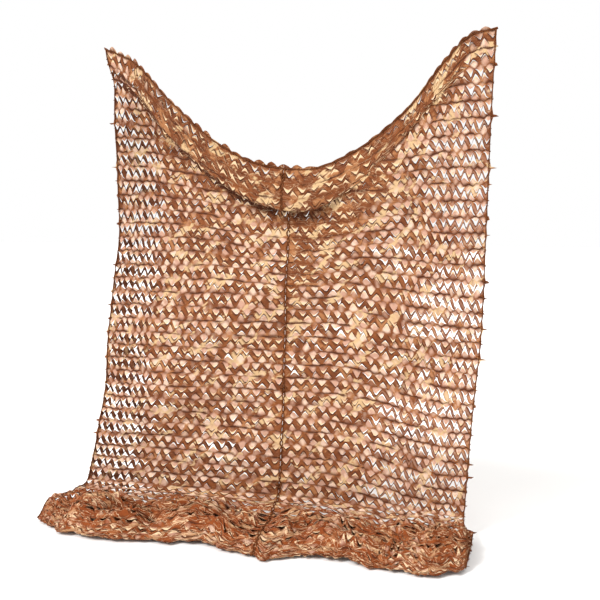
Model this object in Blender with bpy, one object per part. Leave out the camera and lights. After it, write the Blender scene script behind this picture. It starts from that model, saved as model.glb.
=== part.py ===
"""Camouflage netting: two slit fabric panels joined along the middle, hung from the two top corners.

The top edge sags between the corners and the slack below it hangs over as one swag fold.
The net then falls straight and lies on the floor in back-and-forth layers, towards the front.
Metres, +Z up, +X to the right, -Y towards the front. The origin is the middle of the top edge.
"""

import math
from typing import NamedTuple

import bmesh
import bpy
import numpy as np

# The net as it hangs
CORNER_HEIGHT = 1.87  # of the two held corners above the floor
HUNG_LENGTH = 1.79  # cloth from a held corner down to the pile on the floor
HALF_WIDTH = 0.75  # about what a panel covers
CROWDING = 0.09  # how much closer the cloth stands at the side edges than in the middle
SIDE_BLEND = 0.45  # cloth below the top edge in which the threads swing to the vertical
SIDE_QUICKER = 0.70  # share of it that the side edges do without

# The swag fold
FLAP_DEPTH = 0.05  # how far the crease stands forward
FULL_FLAP = 0.18  # flap from which it stands that far
FULL_SLACK = 0.08  # and slack from which it does
UNDER_MIN, UNDER_SHARE = 0.05, 0.62  # hidden layer's cloth: least, and per metre of slack
BACK_DEPTH = 0.035  # how far the rear layer stands back behind the top edge
BACK_RELEASE = 0.75  # cloth over which it comes forward again
FOLD_ROUNDING = 0.018  # half the cloth in a turn
FORWARD_BY = 0.45  # share of the flap by which it stands fully forward
RETURN_BY = 0.35  # share of the hidden layer by which it has swung back
CREASE_RETURN, BACK_RETURN = 0.6, 0.3  # share of the crease's and of the rear layer's way that it swings
PASSING = 0.04  # cloth over which it goes the rest of the way
WAVES_IN, WAVES_OUT = 0.25, 0.35  # cloth over which the gentle waves set in and die out

# Where it meets the floor
FOOT_HEIGHT = CORNER_HEIGHT - HUNG_LENGTH
FOOT_ROUNDING, FOOT_REACH = 0.030, 0.09
LANDING = 0.16  # cloth over which it settles onto the pile
FIRST_STEP = 0.05  # cloth from the foot to the first point of the pile's section
FLARE = 0.31  # cloth over which the pile comes to its own width

# Cloth and cords
SHEET = 0.002
GAP = 0.0004
SEAM_WIDTH, SEAM_THICKNESS, SEAM_SIDES = 0.008, 0.003, 6
BORDER_RADIUS = 0.0028
BORDER_CLEAR = 0.0020  # from the cloth to the cord
LEAF_TIP = 0.015  # how far a leaf tip stands out of the side edge
LEAF_UNEVENNESS = 0.2  # share of LEAF_TIP by which the mean tip is shorter
LEAF_VARIATION = 1.9  # turn from one tip to the next of the wave that makes them uneven
TOP_LEAF_TIP = 0.010

# Mesh of a panel
COLUMNS = 12
STRIP = 0.032  # the strip along the cut edges, with the border cord along its middle
EVEN_FROM = 0.80  # from here out to the side edge the rows come to stand evenly
TURN_REACH = 0.0234  # cloth to each side of a turn in which the rows stand closer
HANG_ROWS = 46
PILE_STEPS = 2  # mesh rows between two points of the pile's section
AT_SEAM = 1e-6  # across at a panel's inner edge, so that it keeps its side


class TopPoint(NamedTuple):
    """A point of the sagging top edge."""

    x: float
    height: float


class Width(NamedTuple):
    """Where the side edges and the seam run at a height."""

    height: float
    left: float
    seam: float
    right: float


class Crease(NamedTuple):
    """How the swag is folded at a place across the net.

    Its fullness is the share of its depth that the fold has there. The flap is the cloth from the
    top edge to the crease.
    """

    across: float
    fullness: float
    flap: float


class PileReach(NamedTuple):
    """How far the pile on the floor reaches at a place across the net."""

    across: float
    rear: float
    front: float


class PileTurn(NamedTuple):
    """A point of the pile's section: share of the way to the front, and height."""

    forward: float
    height: float


class PileWave(NamedTuple):
    """One wave of the pile's height, as a share of it: amplitude, length along X and Y, phase."""

    amplitude: float
    x_length: float
    y_length: float
    phase: float


class Wave(NamedTuple):
    """One gentle wave of the hanging cloth: amplitude, cloth per wave, waves across, phase."""

    amplitude: float
    length: float
    waves_across: float
    phase: float


TOP_EDGE = (
    TopPoint(-0.765, 1.870),
    TopPoint(-0.660, 1.825),
    TopPoint(-0.480, 1.650),
    TopPoint(-0.280, 1.482),
    TopPoint(-0.150, 1.415),
    TopPoint(-0.020, 1.388),
    TopPoint(0.100, 1.386),
    TopPoint(0.250, 1.445),
    TopPoint(0.450, 1.597),
    TopPoint(0.600, 1.780),
    TopPoint(0.680, 1.853),
    TopPoint(0.769, 1.870),
)
SEAM_ROW = 5  # the row of TOP_EDGE where the two panels meet

WIDTHS = (
    Width(1.870, -0.735, -0.020, 0.769),
    Width(1.500, -0.722, -0.016, 0.756),
    Width(1.150, -0.728, -0.008, 0.747),
    Width(0.750, -0.775, -0.020, 0.735),
    Width(0.400, -0.812, -0.030, 0.706),
    Width(0.080, -0.893, -0.047, 0.686),
)
PILE_WIDTH = Width(0.0, -0.962, -0.020, 0.722)  # at the front of the pile

CREASES = (
    Crease(-1.00, 0.80, 0.070),
    Crease(-0.85, 0.95, 0.096),
    Crease(-0.70, 1.00, 0.129),
    Crease(-0.40, 1.00, 0.145),
    Crease(-0.10, 1.00, 0.160),
    Crease(0.10, 0.80, 0.165),
    Crease(0.30, 0.38, 0.140),
    Crease(0.50, 0.28, 0.108),
    Crease(0.80, 0.30, 0.085),
    Crease(1.00, 0.40, 0.070),
)

PILE_REACHES = (
    PileReach(-1.00, -0.120, -0.270),
    PileReach(-0.85, -0.040, -0.350),
    PileReach(-0.55, -0.005, -0.405),
    PileReach(-0.22, 0.000, -0.355),
    PileReach(0.02, 0.000, -0.425),
    PileReach(0.25, 0.000, -0.365),
    PileReach(0.55, 0.000, -0.400),
    PileReach(0.85, -0.005, -0.425),
    PileReach(1.00, -0.025, -0.360),
)
PILE_DEPTH = 0.39  # the usual way from rear to front, which sets how much cloth a layer takes

PILE_SECTION = (
    PileTurn(0.10, 0.084),
    PileTurn(0.30, 0.074),
    PileTurn(0.50, 0.088),
    PileTurn(0.72, 0.076),
    PileTurn(0.90, 0.080),
    PileTurn(1.00, 0.060),
    PileTurn(0.97, 0.036),
    PileTurn(0.80, 0.046),
    PileTurn(0.55, 0.040),
    PileTurn(0.30, 0.050),
    PileTurn(0.12, 0.044),
    PileTurn(0.05, 0.022),
    PileTurn(0.16, 0.008),
    PileTurn(0.40, 0.016),
    PileTurn(0.65, 0.006),
    PileTurn(0.88, 0.012),
)
PILE_ROUNDING = 0.012
PILE_WAVES = (
    PileWave(0.20, 0.46, 0.90, 0.7),
    PileWave(0.13, 0.19, -0.33, 2.0),
)

HANG_WAVES = (
    Wave(0.010, 1.30, 1.0, 0.6),
    Wave(0.006, 0.62, 2.5, 2.1),
    Wave(0.004, 0.31, 1.7, 4.4),
)


def eased(share):
    """A share from 0 to 1, eased at both ends."""
    share = np.clip(share, 0.0, 1.0)
    return share * share * (3.0 - 2.0 * share)


def through(rows, column, places, at):
    """A table's column read at other places, on a smooth curve through its rows."""
    places = np.asarray(places, float)
    values = np.array([getattr(row, column) for row in rows])
    slopes = np.gradient(values, places)
    at = np.clip(at, places[0], places[-1])
    low = np.clip(np.searchsorted(places, at, side="right") - 1, 0, len(places) - 2)
    step = places[low + 1] - places[low]
    t = (at - places[low]) / step
    start = (1 + 2 * t) * (1 - t) ** 2 * values[low] + t * (1 - t) ** 2 * step * slopes[low]
    end = t * t * (3 - 2 * t) * values[low + 1] - t * t * (1 - t) * step * slopes[low + 1]
    return start + end


def rounded(line, at, half):
    """A line of straight pieces with its corners rounded, as a mean over a short length of cloth."""
    return sum(line(at + half * offset) for offset in (-1.0, -0.5, 0.0, 0.5, 1.0)) / 5.0


def turn_rounding(down):
    """Half the cloth in a turn, by how far down the turn is."""
    at_foot = eased(1.0 - np.abs(down - HUNG_LENGTH) / FOOT_REACH)
    usual = np.where(down < HUNG_LENGTH, FOLD_ROUNDING, PILE_ROUNDING)
    return usual + (FOOT_ROUNDING - usual) * at_foot


def top_edge_across():
    """Where each row of TOP_EDGE lies across the net, from -1 through 0 at the seam to 1."""
    steps = [
        math.dist(TOP_EDGE[i], TOP_EDGE[i + 1]) for i in range(len(TOP_EDGE) - 1)
    ]
    run = np.concatenate([[0.0], np.cumsum(steps)]) - sum(steps[:SEAM_ROW])
    return np.where(run < 0, run / -run[0], run / run[-1])


TOP_ACROSS = top_edge_across()
WIDTH_DEPTHS = [CORNER_HEIGHT - row.height for row in WIDTHS]
CREASE_ACROSS = [row.across for row in CREASES]
REACH_ACROSS = [row.across for row in PILE_REACHES]
PILE_CLOTH = HUNG_LENGTH + np.cumsum(
    [FIRST_STEP]
    + [
        math.hypot((b.forward - a.forward) * PILE_DEPTH, b.height - a.height)
        for a, b in zip(PILE_SECTION, PILE_SECTION[1:])
    ]
)
CLOTH_LENGTH = float(PILE_CLOTH[-1])


def swag(across):
    """The swag at a place across: top height, slack, end of the flap and of the hidden layer."""
    top = through(TOP_EDGE, "height", TOP_ACROSS, across)
    slack = CORNER_HEIGHT - top
    flap = through(CREASES, "flap", CREASE_ACROSS, across)
    return top, slack, flap, flap + UNDER_MIN + UNDER_SHARE * slack


def hanging(across, at):
    """(y, height) of the hanging cloth, down its length from the top edge, its turns still sharp."""
    top, slack, flap, turned = swag(across)
    under = turned - flap
    fullness = through(CREASES, "fullness", CREASE_ACROSS, across) * eased(slack / FULL_SLACK)
    crease, back = FLAP_DEPTH * fullness * np.minimum(flap / FULL_FLAP, 1.0), BACK_DEPTH * fullness
    forward = crease * np.clip(at / (FORWARD_BY * flap), 0.0, 1.0)
    swing = CREASE_RETURN * crease + BACK_RETURN * back
    returned = swing * np.clip((at - flap) / (RETURN_BY * under), 0.0, 1.0)
    passed = (crease + back - swing) * np.clip((at - turned) / PASSING + 0.5, 0.0, 1.0)
    release = back * eased((at - turned) / BACK_RELEASE)
    wave = sum(
        row.amplitude
        * np.sin(2 * math.pi * (at / row.length + row.waves_across * across / 2) + row.phase)
        for row in HANG_WAVES
    )
    wave = wave * eased(at / WAVES_IN) * eased((HUNG_LENGTH - at) / WAVES_OUT)
    height = top - at + slack * np.clip((at - flap) / under, 0.0, 1.0)
    return returned + passed - forward - release + wave, height


def unevenness(x, y):
    """How much taller or flatter than its section the pile is, over a place on the floor."""
    return 1.0 + sum(
        row.amplitude
        * np.sin(2 * math.pi * (x / row.x_length + y / row.y_length) + row.phase)
        for row in PILE_WAVES
    )


def piled(across, at, x):
    """(y, height) of the cloth that lies on the floor in layers, its turns still sharp."""
    rear = through(PILE_REACHES, "rear", REACH_ACROSS, across)
    front = through(PILE_REACHES, "front", REACH_ACROSS, across)
    landed = eased((at - HUNG_LENGTH) / LANDING)
    cloth = [HUNG_LENGTH, *PILE_CLOTH]
    forward = np.interp(at, cloth, [0.0, *(row.forward for row in PILE_SECTION)])
    height = np.interp(at, cloth, [FOOT_HEIGHT, *(row.height for row in PILE_SECTION)])
    y = rear * landed + (front - rear * landed) * forward
    return y, height * (1 + landed * (unevenness(x, y) - 1))


def net_surface(across, down, inset=0.0):
    """Points of the net's middle surface, with the top middle as the origin.

    across runs from -1 at the left edge through 0 at the seam to 1, down is cloth from the top edge,
    and inset moves the inner edge of a panel off the seam's centre line.
    """
    across, down = np.broadcast_arrays(np.asarray(across, float), np.asarray(down, float))
    side = np.sign(across)
    spread = np.abs(across) * (1 + CROWDING) - CROWDING * np.abs(across) ** 3
    hung = np.minimum(down, HUNG_LENGTH)
    left, seam, right = (
        through(WIDTHS, name, WIDTH_DEPTHS, hung) for name in ("left", "seam", "right")
    )
    flare = eased((down - HUNG_LENGTH) / FLARE)
    left = left + flare * (PILE_WIDTH.left - WIDTHS[-1].left)
    seam = seam + flare * (PILE_WIDTH.seam - WIDTHS[-1].seam)
    right = right + flare * (PILE_WIDTH.right - WIDTHS[-1].right)
    edge = np.where(side < 0, left, right)
    straight = seam + side * inset + spread * (edge - seam - side * inset)
    top_x = through(TOP_EDGE, "x", TOP_ACROSS, across)
    top_x = top_x + side * inset * (1 - np.abs(across))
    blend = SIDE_BLEND * (1.0 - SIDE_QUICKER * across**8)
    x = top_x + (straight - top_x) * eased(down / blend)

    def section(at):
        hang = hanging(across, np.minimum(at, HUNG_LENGTH))
        pile = piled(across, np.maximum(at, HUNG_LENGTH), x)
        return np.where(at > HUNG_LENGTH, pile, hang)

    y, z = rounded(section, down, turn_rounding(down))
    middle = TOP_EDGE[SEAM_ROW]
    return np.stack([x - middle.x, y, z - middle.height], axis=-1)


def panel_rows(across):
    """The cloth lengths of a panel's mesh rows at a place across, close together at the turns."""
    flap, turned = swag(across)[2:]
    spans = (  # from, to, rows
        (0.0, STRIP, 1),
        (STRIP, flap - TURN_REACH, 6),
        (flap - TURN_REACH, flap + TURN_REACH, 4),
        (flap + TURN_REACH, turned - TURN_REACH, 4),
        (turned - TURN_REACH, turned + TURN_REACH, 4),
        (turned + TURN_REACH, HUNG_LENGTH, HANG_ROWS),
    )
    rows = [a + (b - a) * i / count for a, b, count in spans for i in range(count)]
    even = np.linspace(STRIP, HUNG_LENGTH, len(rows))[:-1]
    at_edge = eased((abs(across) - EVEN_FROM) / (1.0 - EVEN_FROM))
    rows[1:] = rows[1:] + (even - rows[1:]) * at_edge
    lands = [HUNG_LENGTH, *PILE_CLOTH]
    for a, b in zip(lands, lands[1:]):
        rows += [a + (b - a) * i / PILE_STEPS for i in range(PILE_STEPS)]
    return np.array(rows + [CLOTH_LENGTH])


def material(name, colour, roughness):
    """A plain cloth or cord material."""
    made = bpy.data.materials.new(name)
    made.use_nodes = True
    shader = made.node_tree.nodes["Principled BSDF"]
    shader.inputs["Base Color"].default_value = (*colour, 1.0)
    shader.inputs["Roughness"].default_value = roughness
    shader.inputs["Metallic"].default_value = 0.0
    return made


def lattice(side):
    """A panel's points by mesh row and column, from its seam edge out to its side edge."""
    columns = []
    for column in range(COLUMNS + 1):
        across = side * max((1.0 - STRIP / HALF_WIDTH) * column / (COLUMNS - 1), AT_SEAM)
        if column == COLUMNS:
            across = side
        columns.append(net_surface(across, panel_rows(across), SEAM_WIDTH / 2 + GAP))
    return np.stack(columns, axis=1)


def unit(vectors):
    """The same directions, each one long."""
    return vectors / np.linalg.norm(vectors, axis=-1, keepdims=True)


def front_normals(points, side):
    """Unit normals at the points of a panel's lattice, out of the front of the cloth."""
    out = np.gradient(points, axis=1) * side
    along = np.gradient(points, axis=0)
    return unit(np.cross(along, out))


def linked(name, data, finish):
    """A new object in the scene that shows this mesh or curve in one material."""
    made = bpy.data.objects.new(name, data)
    bpy.context.scene.collection.objects.link(made)
    data.materials.append(finish)
    return made


def panel(name, side, finish):
    """One panel of cloth, with leaf tips out of its side edge and its top edge."""
    points = lattice(side)
    variation = np.sin(LEAF_VARIATION * np.arange(len(points))) - 1.0
    tips = LEAF_TIP * (1.0 + LEAF_UNEVENNESS * variation)
    points[1::2, -1] += tips[1::2, None] * unit(points[:, -1] - points[:, -2])[1::2]
    points[0, 1:-1:2] += TOP_LEAF_TIP * unit(points[0] - points[1])[1:-1:2]
    mesh = bmesh.new()
    bmesh.ops.create_grid(mesh, x_segments=COLUMNS, y_segments=len(points) - 1, size=0.5)
    mesh.verts.ensure_lookup_table()
    for vertex, point in zip(mesh.verts, points.reshape(-1, 3)):
        vertex.co = point
    if side > 0:
        bmesh.ops.reverse_faces(mesh, faces=mesh.faces[:])
    data = bpy.data.meshes.new(name)
    mesh.to_mesh(data)
    mesh.free()
    thicken = linked(name, data, finish).modifiers.new("Thickness", "SOLIDIFY")
    thicken.thickness = SHEET
    thicken.offset = 0.0


def sewn_route(side):
    """The border cord's centre line on one panel: down its side edge, then along its top edge."""
    points = lattice(side)
    lift = SHEET / 2 + BORDER_RADIUS + BORDER_CLEAR
    raised = points + lift * front_normals(points, side)
    down_side = (raised[:, -2] + raised[:, -1]) / 2
    along_top = (raised[0, :-1] + raised[1, :-1]) / 2
    return down_side[1:-1], along_top


def border_cord(name, finish):
    """The cord sewn on the front of the net along its left side, top edge and right side."""
    left_side, left_top = sewn_route(-1)
    right_side, right_top = sewn_route(1)
    route = np.concatenate([left_side[::-1], left_top[::-1], right_top, right_side])
    curve = bpy.data.curves.new(name, "CURVE")
    curve.dimensions = "3D"
    curve.bevel_depth = BORDER_RADIUS
    curve.bevel_resolution = 1
    curve.use_fill_caps = True
    spline = curve.splines.new("POLY")
    spline.points.add(len(route) - 1)
    for place, point in zip(spline.points, route):
        place.co = (*point, 1.0)
    linked(name, curve, finish)


def seam_cord(name, finish):
    """The flat braid that laces the two panels together, in the gap between their inner edges."""
    left, right = lattice(-1)[:, 0], lattice(1)[:, 0]
    centre = ((left + right) / 2)[:-1]
    along = np.gradient(centre, axis=0)
    front = unit(np.cross((1.0, 0.0, 0.0), along))
    mesh = bmesh.new()
    bmesh.ops.create_grid(mesh, x_segments=SEAM_SIDES, y_segments=len(centre) - 1, size=0.5)
    mesh.verts.ensure_lookup_table()
    for step, (point, normal) in enumerate(zip(centre, front)):
        for corner in range(SEAM_SIDES + 1):
            angle = 2 * math.pi * corner / SEAM_SIDES
            sideways = (math.cos(angle) * SEAM_WIDTH / 2, 0.0, 0.0)
            outwards = math.sin(angle) * SEAM_THICKNESS / 2 * normal
            mesh.verts[step * (SEAM_SIDES + 1) + corner].co = point + sideways + outwards
    bmesh.ops.remove_doubles(mesh, verts=mesh.verts[:], dist=1e-6)
    bmesh.ops.holes_fill(mesh, edges=mesh.edges[:], sides=SEAM_SIDES)
    bmesh.ops.recalc_face_normals(mesh, faces=mesh.faces[:])
    data = bpy.data.meshes.new(name)
    mesh.to_mesh(data)
    mesh.free()
    linked(name, data, finish)


for old in list(bpy.data.objects):
    bpy.data.objects.remove(old)

NET_CLOTH = material("slit polyester cloth", (0.36, 0.16, 0.08), 0.85)
CORD = material("braided cord", (0.09, 0.045, 0.03), 0.8)

panel("panel_left", -1, NET_CLOTH)
panel("panel_right", 1, NET_CLOTH)
border_cord("border_cord", CORD)
seam_cord("seam_cord", CORD)
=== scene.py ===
"""Dresses the hung camouflage net: slit cloth in desert colours, its cords, and a plain studio.

Two panels of slit polyester cloth are laced together down the middle. The net hangs from its two
top corners, its top edge sags in a swag, and its lower end lies on the floor in a crumpled pile.
Metres, +Z up, -Y towards the front. The origin is the middle of the net's top edge.
"""

import logging
import math
from dataclasses import dataclass, field
from enum import Enum

import bmesh
import bpy
import numpy as np
from mathutils import Euler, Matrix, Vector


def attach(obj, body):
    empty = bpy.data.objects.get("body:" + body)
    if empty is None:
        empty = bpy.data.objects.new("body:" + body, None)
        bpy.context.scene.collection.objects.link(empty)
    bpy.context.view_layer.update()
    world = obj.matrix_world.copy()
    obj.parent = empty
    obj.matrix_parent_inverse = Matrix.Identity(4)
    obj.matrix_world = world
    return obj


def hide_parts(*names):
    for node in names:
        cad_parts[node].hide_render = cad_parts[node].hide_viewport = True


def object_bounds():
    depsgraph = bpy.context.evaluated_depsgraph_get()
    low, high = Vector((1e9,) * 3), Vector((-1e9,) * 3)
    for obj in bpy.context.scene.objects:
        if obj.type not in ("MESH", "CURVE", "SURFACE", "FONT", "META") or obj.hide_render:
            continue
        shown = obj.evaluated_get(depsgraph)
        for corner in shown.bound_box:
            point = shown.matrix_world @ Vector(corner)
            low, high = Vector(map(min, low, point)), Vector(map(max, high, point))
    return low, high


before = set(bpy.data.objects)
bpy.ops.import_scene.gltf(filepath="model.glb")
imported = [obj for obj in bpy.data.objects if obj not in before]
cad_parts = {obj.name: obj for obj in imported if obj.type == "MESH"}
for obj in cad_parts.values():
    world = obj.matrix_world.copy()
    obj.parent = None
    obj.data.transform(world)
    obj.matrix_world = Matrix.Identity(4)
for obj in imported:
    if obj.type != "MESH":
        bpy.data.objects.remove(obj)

CAD_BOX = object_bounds()
BODY = "root"
BARELY = 1e-6  # just off an edge
MIX_FIRST, MIX_SECOND, MIX_RESULT = 6, 7, 2  # the colours of a Mix node, and its colour output

log = logging.getLogger("net")


class Side(Enum):
    """A panel of the net, by the side of the seam on which it hangs."""

    LEFT = -1
    RIGHT = 1


class Stretch(Enum):
    """A stretch of a panel's length."""

    HUNG = "hung"
    PILED = "piled"


def eased(share: np.ndarray) -> np.ndarray:
    """A share from 0 to 1, eased at both ends."""
    share = np.clip(share, 0.0, 1.0)
    return share * share * (3.0 - 2.0 * share)


def unit(vectors: np.ndarray) -> np.ndarray:
    """The same directions, each one long."""
    return vectors / np.maximum(np.linalg.norm(vectors, axis=-1, keepdims=True), 1e-12)


@dataclass(frozen=True)
class Ramp:
    """A smooth rise from 0 at its start to 1, or a fall where its length is negative."""

    start: float
    over: float

    def at(self, value: np.ndarray) -> np.ndarray:
        """The rise at a value."""
        return eased((value - self.start) / self.over)


# ---------------------------------------------------------------------------------------------
# The drape: the folds in which the net hangs, from the same sizes as its solids


@dataclass(frozen=True)
class TopPoint:
    """A point of the sagging top edge."""

    x: float
    height: float


@dataclass(frozen=True)
class Width:
    """Where the side edges and the seam run at a height."""

    height: float
    left: float
    seam: float
    right: float


@dataclass(frozen=True)
class Crease:
    """How the swag is folded at a place across the net.

    Its fullness is the share of its depth that the fold has there. The flap is the cloth from the
    top edge to the crease.
    """

    across: float
    fullness: float
    flap: float


@dataclass(frozen=True)
class PileReach:
    """How far the pile on the floor reaches at a place across the net."""

    across: float
    rear: float
    front: float


@dataclass(frozen=True)
class PileTurn:
    """A point of the pile's section: share of the way to the front, and height."""

    forward: float
    height: float


@dataclass(frozen=True)
class PileWave:
    """One wave of the pile's height, as a share of it: amplitude, length along X and Y, phase."""

    amplitude: float
    x_length: float
    y_length: float
    phase: float


@dataclass(frozen=True)
class Wave:
    """One gentle wave of the hanging cloth: amplitude, cloth per wave, waves across, phase."""

    amplitude: float
    length: float
    waves_across: float
    phase: float


TOP_EDGE = (
    TopPoint(-0.765, 1.870),
    TopPoint(-0.660, 1.825),
    TopPoint(-0.480, 1.650),
    TopPoint(-0.280, 1.482),
    TopPoint(-0.150, 1.415),
    TopPoint(-0.020, 1.388),
    TopPoint(0.100, 1.386),
    TopPoint(0.250, 1.445),
    TopPoint(0.450, 1.597),
    TopPoint(0.600, 1.780),
    TopPoint(0.680, 1.853),
    TopPoint(0.769, 1.870),
)
WIDTHS = (
    Width(1.870, -0.735, -0.020, 0.769),
    Width(1.500, -0.722, -0.016, 0.756),
    Width(1.150, -0.728, -0.008, 0.747),
    Width(0.750, -0.775, -0.020, 0.735),
    Width(0.400, -0.812, -0.030, 0.706),
    Width(0.080, -0.893, -0.047, 0.686),
)
CREASES = (
    Crease(-1.00, 0.80, 0.070),
    Crease(-0.85, 0.95, 0.096),
    Crease(-0.70, 1.00, 0.129),
    Crease(-0.40, 1.00, 0.145),
    Crease(-0.10, 1.00, 0.160),
    Crease(0.10, 0.80, 0.165),
    Crease(0.30, 0.38, 0.140),
    Crease(0.50, 0.28, 0.108),
    Crease(0.80, 0.30, 0.085),
    Crease(1.00, 0.40, 0.070),
)
PILE_REACHES = (
    PileReach(-1.00, -0.120, -0.270),
    PileReach(-0.85, -0.040, -0.350),
    PileReach(-0.55, -0.005, -0.405),
    PileReach(-0.22, 0.000, -0.355),
    PileReach(0.02, 0.000, -0.425),
    PileReach(0.25, 0.000, -0.365),
    PileReach(0.55, 0.000, -0.400),
    PileReach(0.85, -0.005, -0.425),
    PileReach(1.00, -0.025, -0.360),
)
PILE_SECTION = (
    PileTurn(0.10, 0.084),
    PileTurn(0.30, 0.074),
    PileTurn(0.50, 0.088),
    PileTurn(0.72, 0.076),
    PileTurn(0.90, 0.080),
    PileTurn(1.00, 0.060),
    PileTurn(0.97, 0.036),
    PileTurn(0.80, 0.046),
    PileTurn(0.55, 0.040),
    PileTurn(0.30, 0.050),
    PileTurn(0.12, 0.044),
    PileTurn(0.05, 0.022),
    PileTurn(0.16, 0.008),
    PileTurn(0.40, 0.016),
    PileTurn(0.65, 0.006),
    PileTurn(0.88, 0.012),
)
PILE_WAVES = (
    PileWave(0.20, 0.46, 0.90, 0.7),
    PileWave(0.13, 0.19, -0.33, 2.0),
)
HANG_WAVES = (
    Wave(0.010, 1.30, 1.0, 0.6),
    Wave(0.006, 0.62, 2.5, 2.1),
    Wave(0.004, 0.31, 1.7, 4.4),
)


def through(rows: tuple, column: str, places: np.ndarray, at: np.ndarray) -> np.ndarray:
    """Read a table's column at other places, on a smooth curve through its rows.

    Args:
        rows: The table.
        column: The name of the column.
        places: Where each row lies.
        at: Where to read it.

    Returns:
        The values there.
    """
    places = np.asarray(places, float)
    values = np.array([getattr(row, column) for row in rows])
    slopes = np.gradient(values, places)
    at = np.clip(at, places[0], places[-1])
    low = np.clip(np.searchsorted(places, at, side="right") - 1, 0, len(places) - 2)
    step = places[low + 1] - places[low]
    t = (at - places[low]) / step
    start = (1 + 2 * t) * (1 - t) ** 2 * values[low] + t * (1 - t) ** 2 * step * slopes[low]
    end = t * t * (3 - 2 * t) * values[low + 1] - t * t * (1 - t) * step * slopes[low + 1]
    return start + end


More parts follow.
